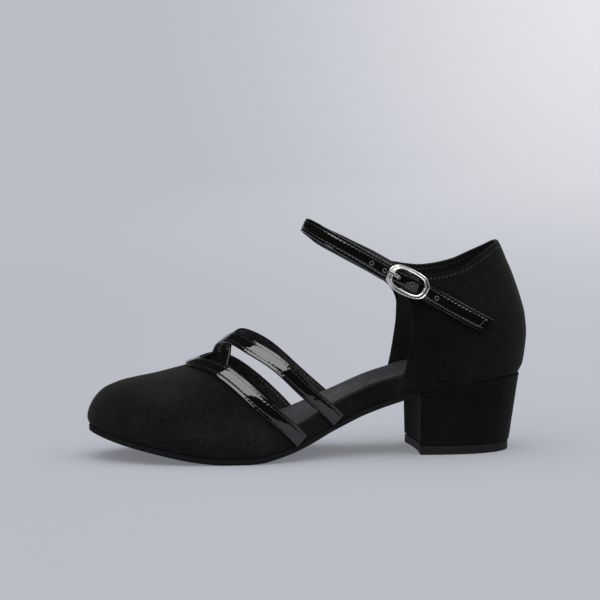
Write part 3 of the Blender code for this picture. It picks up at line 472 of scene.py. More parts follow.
# Counter: its front edge as a station, its back line's swing, over the height's share
Counter = namedtuple("Counter", "height front swing")
COUNTER = rows_of(Counter, (
    (0, 0.6826, 0), (0.063, 0.6885, 0.2), (0.168, 0.699, 0.3), (0.293, 0.707, 0.365),
    (0.435, 0.714, 0.29), (0.56, 0.7185, 0.095), (0.68, 0.7195, -0.15), (0.773, 0.711, -0.36),
    (0.861, 0.688, -0.6), (0.93, 0.6715, -0.77), (1, 0.664, -0.985)
))

# Topline heights as shares of the counter's height, and the half breadth at the top
Topline = namedtuple("Topline", "station lateral medial breadth")
TOPLINE = rows_of(Topline, (
    (0.664, 0.876, 0.882, 1.18), (0.7, 0.868, 0.889, 1.13), (0.738, 0.856, 0.878, 1.07),
    (0.77, 0.857, 0.872, 1.03), (0.798, 0.868, 0.877, 1.005), (0.842, 0.899, 0.897, 1),
    (0.889, 0.958, 0.943, 1), (0.914, 0.988, 0.972, 1), (0.932, 1, 1, 1)
))

spring_share = column(FEATHER, "spring")
rise_share = column(FEATHER, "rise")
climb_share = column(FEATHER, "climb")
ridge_share = column(RIDGE, "height")
footbed_share = column(BED, "footbed")
bulge_share = column(BED, "bulge")
front_station = column(COUNTER, "front")
back_swing = column(COUNTER, "swing")
topline_share = {LATERAL: column(TOPLINE, "lateral"), MEDIAL: column(TOPLINE, "medial")}
collar_share = column(TOPLINE, "breadth")


print("rows of the last:", [len(rows) for rows in (FEATHER, RIDGE, BED, COUNTER, TOPLINE)])

# %% [markdown]
# ## Surface of the fore part
# Each column of the last rises from the feather line to the ridge in a quarter of a superellipse, a
# little fuller than a round one, as leather pulled over a last is. Near the toe the columns lean
# forward and swell, which gives the toe its blunt front.

# %% Surface of the last
def feather(x):
    """Height of the line where the upper meets the sole and the heel."""
    s = station_of(x)
    return (SOLE_THICKNESS + spring_share(s) * TOE_SPRING + rise_share(s) * SEAT_RISE
            + climb_share(s) * SEAT_CLIMB)


def ridge(x):
    return ridge_share(station_of(x)) * VAMP_HEIGHT


def band_height(x):
    """Height of the waist band, just under the footbed's top."""
    return footbed_share(station_of(x)) * FOOTBED - SOCK_STANDS


def edge(side, x, inset=0.0):
    """Outline of the sole seen from above, as y at this x, moved in by the inset."""
    at = GIRTH_STATIONS[side]
    ball, waist, seat = x_of(at.ball), x_of(at.waist), x_of(at.seat)
    half_ball = BALL_WIDTH / 2 - inset
    half_waist = WAIST_WIDTH / 2 - inset
    half_seat = SEAT_WIDTH / 2 - inset
    if x < ball:
        tip = x_of(SOLE_TIP) + inset
        along = min(max((ball - x) / (ball - tip), 0.0), 1.0)
        reach = half_ball - side * TOE_SHIFT
        return TOE_SHIFT + side * reach * math.sqrt(1 - along * along)
    if x < waist:
        return side * blend(half_ball, half_waist, ease((x - ball) / (waist - ball)))
    if x < seat:
        return side * blend(half_waist, half_seat, ease((x - waist) / (seat - waist)))
    back = x_of(SOLE_BACK) - inset
    along = min(max((x - seat) / (back - seat), 0.0), 1.0)
    return side * half_seat * (1 - along ** HEEL_FULLNESS) ** (1 / HEEL_FULLNESS)


def ridge_lead(x):
    """How far the top of a column lies behind its foot: it grows towards the toe tip."""
    tip, end = x_of(SOLE_TIP) + FEATHER_INSET, x_of(0.195)
    share = min(max((end - x) / (end - tip), 0.0), 1.0)
    return share * share * (x_of(0.054) - tip)


def lasted_point(x, turn):
    """Point of the last surface: x is the station of the column's foot."""
    side = LATERAL if turn < 0 else MEDIAL
    angle = (1 - min(abs(turn), 1.0)) * math.pi / 2
    top_x = x + ridge_lead(x)
    toe = ease((x_of(0.30) - top_x) / (x_of(0.30) - x_of(0.0)))
    top = Vector((top_x, TOE_SHIFT * toe, ridge(top_x)))
    foot = Vector((x, edge(side, x, FEATHER_INSET), feather(x)))
    power = 2 / LASTED_FULLNESS
    inward = 1 - math.cos(angle) ** power
    up = math.sin(angle) ** power
    point = foot.lerp(top, inward)
    slope = (ridge(top_x + 0.002) - ridge(top_x)) / 0.002
    point.z = blend(foot.z, top.z, up) + slope * (point.x - top.x) * up ** 3
    outward = Vector((foot.x - top.x, foot.y - top.y, 0))
    if outward.length > 0:
        swell = 4.0 * up * math.exp(1 - 4.0 * up)
        point += outward.normalized() * swell * bulge_share(station_of(x)) * TOE_BULGE
    return point


def turn_at_height(side, x, height):
    """Turn of the point that lies this high above the feather line in its column."""
    full = ridge(x + ridge_lead(x)) - feather(x)
    share = min(max(height / full, 0.0), 1.0)
    return side * (1 - math.asin(share ** (LASTED_FULLNESS / 2)) / (math.pi / 2))


throat_x = x_of(0.24)
print("ridge at the throat:", round(ridge(throat_x) * 1000, 1), "mm over the floor")

# %% [markdown]
# ## Surface of the counter
# The counter is a stiff wall that stands on the seat, leans in to the collar and closes in a round
# back. A point on it is found from its place along the wall and its share of the height, and its y
# from x and height, which is what the straps that lie on it ask for.

# %% Surface of the counter
COUNTER_SWELL = 0.0016      # how far its side wall stands out half-way up


def counter_back(share):
    return x_of(SOLE_BACK) - FEATHER_INSET + back_swing(share) * COUNTER_CURVE


def counter_round(share):
    """Length of the counter's round end at this share of its height."""
    seat = x_of(SOLE_BACK) - x_of(GIRTH_STATIONS[LATERAL].seat) - FEATHER_INSET
    return seat * blend(1.0, 0.86, share)


def counter_breadth(side, x, share):
    """Half breadth of the counter's side wall at this x and share of its height."""
    seat = x_of(GIRTH_STATIONS[side].seat)
    low = abs(edge(side, min(x, seat), FEATHER_INSET))
    high = collar_share(station_of(x)) * COLLAR_WIDTH / 2
    swell = COUNTER_SWELL * math.sin(math.pi * share) * ease((x - x_of(0.69)) / 0.030)
    return blend(low, high, share ** 2) + swell


def counter_x(along, share):
    """x on the counter: along runs 0..1 on the side wall and 1..2 round the back."""
    start = counter_back(share) - counter_round(share)
    if along <= 1:
        return blend(x_of(front_station(share)), start, along)
    return start + counter_round(share) * math.cos((2 - along) * math.pi / 2) ** (2 / HEEL_FULLNESS)


def counter_point(side, along, share):
    """Point of the counter at this place along it and share of its height."""
    x = counter_x(along, share)
    y = counter_breadth(side, min(x, counter_back(share) - counter_round(share)), share)
    if along > 1:
        y *= max(math.sin((2 - along) * math.pi / 2), 0.0) ** (2 / HEEL_FULLNESS)
    low = feather(counter_x(along, 0.0))
    high = topline_share[side](station_of(counter_x(along, 1.0))) * COUNTER_HEIGHT
    return Vector((x, side * y, blend(low, high, share)))


def counter_side(side, x, z):
    """y of the counter's outer face at this x and z."""
    low = feather(x)
    high = topline_share[side](station_of(x)) * COUNTER_HEIGHT
    share = min(max((z - low) / (high - low), 0.0), 1.0)
    start = counter_back(share) - counter_round(share)
    if x <= start:
        return side * counter_breadth(side, x, share)
    along = min((x - start) / counter_round(share), 1.0)
    rounded = (1 - along ** HEEL_FULLNESS) ** (1 / HEEL_FULLNESS)
    return side * counter_breadth(side, start, share) * rounded


print("back of the counter:", round(counter_back(0.0) * 1000, 1), "mm behind the middle")

# %% [markdown]
# ## Paths of the straps
# A strap takes the path that a tape would take over the foot. On the last its middle line is a list of
# stations and turns round the last. The ankle strap leaves the counter and runs free round the ankle,
# so its line is a list of places in the room, and its width changes with the run.

# %% Tables of the straps
# Middle lines of the throat strap and of the two instep straps on the last surface. A turn of
# -1 is the lateral feather line, 0 the ridge and 1 the medial feather line.
Path = namedtuple("Path", "station turn")
THROAT = rows_of(Path, (
    (0.4615, -0.988), (0.427, -0.9), (0.392, -0.808), (0.346, -0.657), (0.307, -0.477),
    (0.277, -0.3), (0.248, -0.12), (0.238, 0), (0.248, 0.12), (0.281, 0.3), (0.322, 0.48),
    (0.371, 0.657), (0.424, 0.82), (0.452, 0.9), (0.482, 0.988)
))
OVER_STRAP = rows_of(Path, (
    (0.5495, -0.988), (0.512, -0.89), (0.465, -0.759), (0.412, -0.575), (0.356, -0.333),
    (0.3185, 0), (0.301, 0.165), (0.287, 0.31)
))
UNDER_STRAP = rows_of(Path, (
    (0.565, 0.988), (0.527, 0.89), (0.481, 0.759), (0.4255, 0.575), (0.366, 0.333), (0.3185, 0),
    (0.301, -0.165), (0.287, -0.31)
))

# Ankle strap, from its tail to the buckle's bar: station, share of the strap's height, and share
# of the stack between strap and counter
Tail = namedtuple("Tail", "station height stack")
TAIL = rows_of(Tail, (
    (0.8846, 0.569, 0.25), (0.835, 0.619, 0.25), (0.785, 0.673, 0.4), (0.7408, 0.721, 0.74),
    (0.702, 0.764, 1)
))
# Its free loop: station, share of half the loop's width, share of the strap's height and width
Loop = namedtuple("Loop", "station across height width")
LOOP = rows_of(Loop, (
    (0.6585, -1.07, 0.806, 0.98), (0.6094, -1.01, 0.861, 0.95), (0.5656, -0.93, 0.911, 0.92),
    (0.5239, -0.75, 0.958, 0.91), (0.5032, -0.52, 0.982, 0.88), (0.4916, -0.24, 0.997, 0.84),
    (0.4893, 0, 0.996, 0.82), (0.494, 0.14, 0.99, 0.86), (0.5135, 0.38, 0.97, 1.02),
    (0.5334, 0.54, 0.945, 1.1), (0.5732, 0.712, 0.905, 1.19), (0.6118, 0.784, 0.866, 1.24),
    (0.6492, 0.808, 0.829, 1.28)
))
# Its root, inside the medial counter
Root = namedtuple("Root", "station height width")
ROOT = rows_of(Root, (
    (0.6866, 0.788, 1.29), (0.7188, 0.754, 1.29)
))


print("rows of the instep straps:", [len(rows) for rows in (THROAT, OVER_STRAP, UNDER_STRAP)])
print("rows of the ankle strap:", len(TAIL + LOOP + ROOT))

# %% [markdown]
# ## Axes on a strap
# What sits on a strap, such as a hole, a ring or the buckle, needs three directions there: along the
# strap, across it, and out of its face. On the counter the strap leans with the wall, and over the
# free loop it stands nearly upright, so the two directions are blended between them.

# %% Path of the ankle strap
def along_route(points):
    """Length run at each point of a route."""
    runs = [0.0]
    for a, b in zip(points, points[1:]):
        runs.append(runs[-1] + (b - a).length)
    return runs


def counter_offset(side, x, z, lift):
    """Point at this x and z, the lift being measured outwards from the counter's outer face."""
    return Vector((x, counter_side(side, x, z) + side * lift, z))


class AnklePath:
    """Middle line of the ankle strap by the length run from its tail, with its width."""

    def __init__(self):
        points = [counter_offset(LATERAL, x_of(row.station), row.height * ANKLE_HEIGHT,
                                 row.stack * BUCKLE_STACK) for row in TAIL]
        points += [Vector((x_of(row.station), row.across * ANKLE_LOOP_WIDTH / 2,
                           row.height * ANKLE_HEIGHT)) for row in LOOP]
        inside = -WALL - GAP - ANKLE_THICKNESS / 2
        points += [counter_offset(MEDIAL, x_of(row.station), row.height * ANKLE_HEIGHT, inside)
                   for row in ROOT]
        widths = [1.0] * len(TAIL) + [row.width for row in LOOP + ROOT]
        runs = along_route(points)
        self.length = runs[-1]
        self.buckle = runs[len(TAIL) - 1]
        self.axes = [Bend([(run, point[k]) for run, point in zip(runs, points)]) for k in range(3)]
        self.width = Curve(list(zip(runs, widths)))

    def point(self, run):
        return Vector([axis(run) for axis in self.axes])

    def frame(self, run):
        """Middle point, direction towards the root, direction across the width, outward normal."""
        middle = self.point(run)
        along = (self.point(run + 0.0005) - self.point(run - 0.0005)).normalized()
        side = LATERAL if middle.y < 0 else MEDIAL
        x, z = middle.x, middle.z
        slope_x = (counter_side(side, x + 0.001, z) - counter_side(side, x - 0.001, z)) / 0.002
        slope_z = (counter_side(side, x, z + 0.001) - counter_side(side, x, z - 0.001)) / 0.002
        lean = Vector((math.sin(ANKLE_LEAN), 0, math.cos(ANKLE_LEAN)))
        leaned = Vector((lean.x, lean.x * slope_x + lean.z * slope_z, lean.z))
        up = lean.lerp(leaned, ease((x - x_of(0.62)) / 0.018))
        up = (up - along * up.dot(along)).normalized()
        return middle, along, up, up.cross(along)


def on_strap(run, lift=0.0):
    """Axes on the ankle strap at this run: along it, across it and outwards, raised by the lift."""
    middle, along, up, outward = ankle_path.frame(run)
    turn = Matrix((along, -up, outward)).transposed().to_4x4()
    return Matrix.Translation(middle + outward * lift) @ turn


def surface_frame(x, turn):
    """Point, outward normal and the two tangents of the last surface."""
    dx, dt = 0.0005, 0.004
    point = lasted_point(x, turn)
    along = (lasted_point(x + dx, turn) - lasted_point(x - dx, turn)) / (2 * dx)
    across = (lasted_point(x, turn + dt) - lasted_point(x, turn - dt)) / (2 * dt)
    return point, along.cross(across).normalized(), along, across


ankle_path = AnklePath()
print("ankle strap runs", round(ankle_path.length * 1000), "mm")

# %% [markdown]
# ## Materials
# Each surface has its own recipe. Suede is a felt of short fibres: nearly black, rough, and a little
# mottled where the nap lies another way. Patent leather is a black base under a thick clear coat that
# ripples a little. The effects that several materials share, nap and ripple, are node groups.

# %% Shared effects
def new_group(name, *outputs):
    """Node group that reads Object coordinates and gives the named values."""
    group = bpy.data.node_groups.new(name, "ShaderNodeTree")
    for label in outputs:
        group.interface.new_socket(label, in_out="OUTPUT", socket_type="NodeSocketFloat")
    return group, own_place(group), node(group, "NodeGroupOutput")


nap, place, result = new_group("nap", "Shade", "Height")
patches = mottled(nap, place, 38, 0.66, 1.36)
clouds = mottled(nap, place, 210, 0.86, 1.14)
specks = mottled(nap, place, 1600, 0.05, 1.95, roughness=0.6)
fibres = combine(nap, "MULTIPLY", noise(nap, place, 1500, 4, 0.7), 0.5)
fill(result, {"Shade": combine(nap, "MULTIPLY", patches, combine(nap, "MULTIPLY", clouds, specks)),
              "Height": combine(nap, "ADD", fibres, noise(nap, place, 260, 2))})
ripple, place, result = new_group("ripple", "Height")
fine = combine(ripple, "MULTIPLY", noise(ripple, place, 420, 3), 0.10)
fill(result, {"Height": combine(ripple, "ADD", noise(ripple, place, 95, 2, 0.5, 0.4), fine)})

# Painted highlights and shade over the creases: place, reach, and how much lighter or darker it is
# there
CREASE_LIGHT_AND_SHADE = (
    ((-0.066, -0.034, 0.016), (0.024, 0.030, 0.012), 1.55),
    ((-0.088, -0.024, 0.036), (0.026, 0.026, 0.010), 1.35),
    ((-0.037, -0.036, 0.014), (0.016, 0.024, 0.010), 1.40),
    ((-0.052, -0.030, 0.036), (0.022, 0.026, 0.012), 0.75),
    ((-0.104, -0.020, 0.017), (0.018, 0.026, 0.010), 0.80),
    ((0.108, -0.012, 0.062), (0.016, 0.026, 0.030), 1.45),
    ((0.070, -0.026, 0.066), (0.022, 0.020, 0.018), 0.80),
)


# The suede's tone goes from the third number to the fourth between two places on X and on Z, and on Z
# that is painted light low down, where the vamp's bulge shades it. On the counter, faces that turn up
# or forwards get a painted highlight, lighter by the last number between two places on X, and the
# sock gets a painted shade near the counter
TONE_ALONG, TONE_UP = (0.020, 0.055, 1.08, 0.84), (0.002, 0.030, 1.40, 1.0)
EDGE_HIGHLIGHT, SOCK_PAINTED_SHADE = (0.036, 0.046, 0.0, 2.2), (0.020, 0.048, 1.0)


def panel_tones(tree, place, x, z, facing_x, facing_z):
    """Tones of the upper: along it, and painted light and shade low down, on turned edges and on
    creases.
    """
    # On the counter, faces that turn up or forwards get a painted highlight.
    turned = combine(tree, "MAXIMUM", remap(tree, facing_z, 0.50, 0.85, 0.0, 1.0),
                     remap(tree, facing_x, -0.55, -0.85, 0.0, 1.0))
    turned = combine(tree, "MULTIPLY", turned, remap(tree, x, *EDGE_HIGHLIGHT))
    tones = [remap(tree, x, *TONE_ALONG), remap(tree, z, *TONE_UP),
             combine(tree, "ADD", turned, 1.0)]
    for middle, reach, lift in CREASE_LIGHT_AND_SHADE:
        offset = combine_vectors(tree, "SUBTRACT", place, middle)
        share = combine_vectors(tree, "MULTIPLY", offset, [1 / length for length in reach])
        away = node(tree, "ShaderNodeVectorMath", {0: share}, operation="LENGTH").outputs["Value"]
        tones.append(remap(tree, away, 1.0, 0.0, 1.0, lift, "SMOOTHSTEP"))
    return tones


def napped(name, colour, strength=0.6, sheen=0.05, specular=0.15, panels=False, breast=None,
           seat=None):
    """Suede or cloth: rough, mottled, with fibres that stand up. Breast and seat are painted shade:
    how dark its forward faces and its end near the counter get."""
    made, tree, shader = new_material(name)
    effect = node(tree, "ShaderNodeGroup", node_tree=nap).outputs
    coords = node(tree, "ShaderNodeTexCoord").outputs
    x, _, z = axes_of(tree, coords["Object"])
    facing_x, _, facing_z = axes_of(tree, coords["Normal"])
    tones = panel_tones(tree, coords["Object"], x, z, facing_x, facing_z) if panels else []
    if breast:
        tones.append(remap(tree, facing_x, -0.5, -0.9, 1.0, breast))
    if seat:
        tones.append(remap(tree, x, *SOCK_PAINTED_SHADE, seat))
    shade = effect["Shade"]
    for tone in tones:
        shade = combine(tree, "MULTIPLY", shade, tone)
    fill(shader, {"Base Color": scaled(tree, colour, shade), "Roughness": 0.95,
                  "Specular IOR Level": specular, "Sheen Weight": sheen, "Sheen Roughness": 0.5,
                  "Normal": bump(tree, effect["Height"], strength, 0.0004)})
    return made


print("effects:", [group.name for group in (nap, ripple)])

# %% [markdown]
# ## The shoe's materials
# The upper, the heel, the sole, the lining and the sock are napped in their own tones; the heel's
# darker tone, its darker breast and the sock's darker end near the counter are painted shade. Thread,
# the light rings, which are a painted highlight, and rubber are one plain tone each. The patent's
# clear coat and the nickel are the only mirrors.

# %% Suedes, linings and rubber
suede = napped("black_suede", (0.0082, 0.0078, 0.0083), sheen=0.08, specular=0.05, panels=True)
# A darker copy of the upper's suede, with its breast darker still: painted shade on the heel.
heel_suede_painted_shade = napped("heel_suede_painted_shade", (0.0060, 0.0057, 0.0061), sheen=0.06, specular=0.05, breast=0.35)
sole_suede = napped("sole_suede", (0.0080, 0.0080, 0.0085), strength=0.8, sheen=0.02)
lining = napped("dark_lining", (0.010, 0.010, 0.0095), strength=0.4, sheen=0.03)
# The sock gets a painted shade that darkens it towards the counter.
sock = napped("grey_sock", (0.056, 0.054, 0.060), strength=0.3, seat=0.5)
rubber, tree, shader = new_material("grey_rubber")
place = own_place(tree)
grain = mottled(tree, place, 300, 0.85, 1.15, 3)
fill(shader, {"Base Color": scaled(tree, (0.0145, 0.0145, 0.0155), grain),
              "Roughness": 0.6, "Specular IOR Level": 0.15,
              "Normal": bump(tree, noise(tree, place, 900, 2), 0.2, 0.0002)})
strap_lining, tree, shader = new_material("strap_lining")
place = own_place(tree)
patchy = remap(tree, noise(tree, place, 260, 3), 0.35, 0.68, 0.05, 2.2)
fill(shader, {"Base Color": scaled(tree, (0.022, 0.022, 0.023), patchy), "Roughness": 0.5,
              "Normal": bump(tree, noise(tree, place, 500, 3), 0.5, 0.0004)})
print("napped upper, heel, sole:", [item.name for item in (suede, heel_suede_painted_shade, sole_suede)])

# %% [markdown]
# ## Patent, thread and nickel
# Patent leather's base is black and its coat is thick, so nearly all that the eye sees is the coat's
# mirror. Nickel is a mirror with fine wheel marks. In the photo the grooves of the buckle mirror
# something dark, which this studio doesn't have, so the material is darkened there, and the mesh says
# how much at each place.

# %% Patent leather, thread and nickel
def plain(name, colour, values):
    """Material of one colour, with other inputs of its shader."""
    made, _, shader = new_material(name)
    fill(shader, {"Base Color": (*colour, 1), **values})
    return made


patent, tree, shader = new_material("black_patent")
rippled = bump(tree, node(tree, "ShaderNodeGroup", node_tree=ripple).outputs["Height"], 0.35, 0.0008)
fill(shader, {"Base Color": (0.0045, 0.0044, 0.0044, 1), "Roughness": 0.6, "Specular IOR Level": 0.0,
              "Coat Weight": 1.0, "Coat Roughness": 0.035, "Coat IOR": 1.7, "Normal": rippled,
              "Coat Normal": rippled})
thread = plain("black_thread", (0.014, 0.014, 0.015),
               {"Roughness": 0.5, "Coat Weight": 0.6, "Coat Roughness": 0.25})
suede_thread = plain("suede_thread", (0.011, 0.0105, 0.011), {"Roughness": 0.7})
# The darkest thread sews the welt, and as a painted shade it also fills the heel's recess.
dark_thread_and_recess_shade = plain("dark_thread_and_recess_shade", (0.0025, 0.0024, 0.0025),
                    {"Roughness": 0.8, "Specular IOR Level": 0.1})
# The pressed rings round the holes are light grey, a painted highlight.
ring_highlight = plain("painted_ring_highlight", (0.16, 0.155, 0.15), {"Roughness": 0.4})
nickel, tree, shader = new_material("polished_nickel")
place = own_place(tree)
# Painted dark reflection: the mesh's attribute darkens the nickel's colour.
painted_dark_share = node(tree, "ShaderNodeAttribute", attribute_name="painted_dark_reflection").outputs["Fac"]
tone = mixed(tree, "RGBA", painted_dark_share, (0.93, 0.91, 0.87, 1), (0.06, 0.058, 0.055, 1))
fill(shader, {"Base Color": tone, "Metallic": 1.0,
              "Roughness": mottled(tree, place, 700, 0.20, 0.32, 3),
              "Normal": bump(tree, noise(tree, place, 260, 2), 0.05, 0.0004)})
print("patent, threads, edge and nickel:", len(bpy.data.materials), "materials in all")

# %% [markdown]
# ## Upper
# The vamp, the low waist band and the counter are cut from suede and pulled over the last, so the
# whole upper is one skin of even thickness. Points up each column of the last make the outside, a
# Solidify modifier gives the wall and its lining, and a small bevel turns the raw edges in. The
# calls that join points to a mesh and finish any piece are needed first.

# %% Calls for meshes and pieces
def finish_piece(piece, slot, *nodes, angle=40):
    """Shade a finished piece, tie it to the shoe's one body, and hide the solids it stands for."""
    activate(piece)
    bpy.ops.object.shade_smooth_by_angle(angle=math.radians(angle))
    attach(piece, "root")
    if nodes:
        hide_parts(*nodes)
    return piece


def new_piece(name, mesh, *materials):
    """Object from a bmesh, with its seams closed and its normals out."""
    bmesh.ops.remove_doubles(mesh, verts=mesh.verts, dist=0.000002)
    bmesh.ops.dissolve_degenerate(mesh, edges=mesh.edges, dist=0.000001)
    bmesh.ops.recalc_face_normals(mesh, faces=mesh.faces)
    data = bpy.data.meshes.new(name)
    mesh.to_mesh(data)
    mesh.free()
    for item in materials:
        data.materials.append(item)
    piece = bpy.data.objects.new(name, data)
    bpy.context.scene.collection.objects.link(piece)
    return piece


def cap_ends(mesh, rings):
    """Faces over both ends of a tube whose rings repeat their first point."""
    for ring in (rings[0], rings[-1]):
        mesh.faces.new(ring[:-1])


def grid(mesh, columns, closed=False):
    """Faces between neighbouring columns of points, round to the first one if closed."""
    made = [[mesh.verts.new(point) for point in points] for points in columns]
    for left, right in zip(made, made[1:] + (made[:1] if closed else [])):
        for a, b, c, d in zip(left, left[1:], right[1:], right):
            mesh.faces.new((a, b, c, d))
    return made


print("calls for meshes are ready")

# %% [markdown]
# ## Columns of the upper
# Each panel of the upper is a row of columns: the waist band has a few low levels, the vamp goes on up
# to the throat, and the counter to the topline, where its panel laps over the band. Columns lie closer
# together at the toe, where the outline turns fastest.

# %% Columns of the panels
BAND_LEVELS = (0.0, 0.25, 0.5, 0.75, 1.0)
VAMP_ROWS, COUNTER_ROWS, WALL_STEPS, ROUND_STEPS = 34, 34, 40, 40
TOE_STEPS, THROAT_STEPS, WAIST_STEPS = 54, 36, 44
# The throat's edge under its strap, the counter's lap over the band, and the turned edges' rounding
THROAT_TUCK, PANEL_LAP, TURNED_EDGE = 0.0012, 0.00025, 0.0005


def throat_limit(side):
    rows = sorted((row for row in THROAT if row.turn * side >= 0), key=lambda row: row.station)
    return Curve([(row.station - THROAT_TUCK / LENGTH, row.turn) for row in rows])


def vamp_feet(side, limit):
    """x of the vamp's columns, close together at the toe tip."""
    tip = x_of(SOLE_TIP) + FEATHER_INSET
    throat = end = x_of(limit.places[0])
    while abs(limit(station_of(end))) < abs(turn_at_height(side, end, band_height(end))):
        end += 0.0005
    ball = x_of(GIRTH_STATIONS[LATERAL].ball)
    stop = math.acos(1 - (throat - tip) / (ball - tip))
    toe = [tip + (ball - tip) * (1 - math.cos(i / TOE_STEPS * stop)) for i in range(TOE_STEPS)]
    return toe + [blend(throat, end, i / THROAT_STEPS) for i in range(THROAT_STEPS + 1)]


def lapped(side, along, share):
    """Point of the counter's panel, which laps over the waist band from its front edge on."""
    point = counter_point(side, along, share)
    start = counter_back(share) - counter_round(share)
    outward = Vector((max(point.x - start, 0.0), point.y, 0)).normalized()
    return point + outward * (PANEL_LAP if along > 0 else 0.0)


def counter_column(side, along):
    foot, top = counter_point(side, along, 0.0), counter_point(side, along, 1.0)
    low = band_height(foot.x) / (top.z - foot.z)
    shares = [low * level for level in BAND_LEVELS]
    shares += [blend(low, 1.0, i / COUNTER_ROWS) for i in range(1, COUNTER_ROWS + 1)]
    return [lapped(side, along, share) for share in shares]


def band_column(side, foot, lean):
    points = []
    for level in BAND_LEVELS:
        x = foot + lean * level
        points.append(lasted_point(x, turn_at_height(side, x, band_height(x) * level)))
    return points


print("columns of the toe and the throat:", TOE_STEPS, THROAT_STEPS)

# %% [markdown]
# ## Creases
# A worn or much handled shoe isn't as smooth as its last: the suede has soft ridges where the foot
# bends. Sculpting would make them, but a sum of round bumps, each with its place, turn and reach, is
# easy to change and moves the real skin, so its shading and its outline agree.

# %% Creases in the suede
# Soft ridges (up) and troughs (down) that wear leaves in the suede: place, angle in degrees, reach
# along and across, and height
Crease = namedtuple("Crease", "x z angle length width height")
CREASES = rows_of(Crease, (
    (-0.066, 0.017, -28, 0.015, 0.0045, 0.00075), (-0.084, 0.036, 10, 0.016, 0.005, 0.0006),
    (-0.04, 0.017, -20, 0.01, 0.004, 0.0006), (-0.053, 0.029, -35, 0.013, 0.0045, -0.0006),
    (-0.096, 0.02, -12, 0.011, 0.0045, -0.00035), (0.082, 0.078, 25, 0.011, 0.0035, 0.0003),
    (0.074, 0.06, -15, 0.012, 0.0035, -0.0003)
))
CREASE_AXIS = 0.020


def crease_height(point):
    height = 0.0
    for crease in CREASES:
        turn = math.radians(crease.angle)
        x, z = point.x - crease.x, point.z - crease.z
        along = x * math.cos(turn) + z * math.sin(turn)
        across = z * math.cos(turn) - x * math.sin(turn)
        away = (along / crease.length) ** 2 + (across / crease.width) ** 2
        height += crease.height * math.exp(-away)
    return height


print("creases:", len(CREASES))

# %% [markdown]
# ## Skin
# The columns of both sides are joined to one open skin and creased. Solidify then gives the wall its
# thickness inwards, with the lining on its inner face, and Bevel rounds the raw edges.

# %% Skin of the upper
mesh = bmesh.new()
low = len(BAND_LEVELS)
alongs = [0.0] + [0.005 + 0.995 * i / WALL_STEPS for i in range(WALL_STEPS)]
alongs += [1 + i / ROUND_STEPS for i in range(ROUND_STEPS + 1)]
for side in (LATERAL, MEDIAL):
    limit = throat_limit(side)
    feet = vamp_feet(side, limit)
    counters = [counter_column(side, along) for along in alongs]
    front, lean = counters[0][0].x, counters[0][low - 1].x - counters[0][0].x
    waists = [blend(feet[-1], front, i / WAIST_STEPS) for i in range(1, WAIST_STEPS)]
    bands = [band_column(side, x, 0.0) for x in feet]
    bands += [band_column(side, x, lean * (x - feet[-1]) / (front - feet[-1])) for x in waists]
    vamps = []
    for x in feet:
        start = turn_at_height(side, x, band_height(x))
        stop = limit(station_of(x)) if x < feet[-1] else start
        vamps.append([lasted_point(x, blend(start, stop, i / VAMP_ROWS))
                      for i in range(VAMP_ROWS + 1)])
    grid(mesh, bands + [points[:low] for points in counters])
    grid(mesh, [points[low - 1:] for points in counters])
    grid(mesh, vamps)
for vertex in mesh.verts:
    outward = Vector((0, vertex.co.y, vertex.co.z - CREASE_AXIS)).normalized()
    vertex.co += outward * crease_height(vertex.co)
upper = new_piece("suede_upper", mesh, suede, lining)
wall = upper.modifiers.new("wall", "SOLIDIFY")
wall.thickness, wall.offset, wall.use_even_offset = WALL, -1, True
wall.material_offset = 1
turned = upper.modifiers.new("turned edges", "BEVEL")
turned.width, turned.segments = TURNED_EDGE, 3
turned.limit_method, turned.angle_limit = "ANGLE", math.radians(60)
finish_piece(upper, "black_suede", "upper")
print("upper:", len(upper.data.polygons), "faces")


# %% [markdown]
# ## Sole, insole, heel and lift
# The sole is cut from flat leather and follows the foot's outline, the insole fills the shell, and the
# heel is a block covered with the same suede. Each is a stack of outlines: a loft across the shoe for
# the sole and the insole, and one up the heel for the block and the lift.

# %% Outlines seen from above and across
BREAST_HOLLOW, SOLE_CHAMFER, SOLE_END = 0.0020, 0.0009, 0.0020
BASE_LENGTH, BASE_WIDTH_SHARE, LIFT_THICKNESS, LIFT_INSET = 0.0565, 0.90, 0.0050, 0.0005
BREAST_RADIUS = 0.145
# Rounding of the edges of sole, sock, heel and lift, and the recess round the heel's top
SOLE_ROUND, SOCK_ROUND, HEEL_ROUND, LIFT_ROUND = 0.0003, 0.0007, 0.0009, 0.0004
RECESS_HEIGHT, RECESS_DEPTH, RECESS_CRISP = 0.0009, 0.0007, 0.0025


def softened(piece, width, segments=3, angle=35, crisp=None):
    """Round the sharp edges of a piece, apart from those whose ends are all crisp."""
    mesh = bmesh.new()
    mesh.from_mesh(piece.data)
    weight = mesh.edges.layers.float.new("bevel_weight_edge")
    for edge_line in mesh.edges:
        sharp = edge_line.calc_face_angle(0.0) > math.radians(angle)
        kept = crisp and all(crisp(end.co) for end in edge_line.verts)
        edge_line[weight] = float(sharp and not kept)
    mesh.to_mesh(piece.data)
    mesh.free()
    rounding = piece.modifiers.new("soft edges", "BEVEL")
    rounding.width, rounding.segments, rounding.limit_method = width, segments, "WEIGHT"


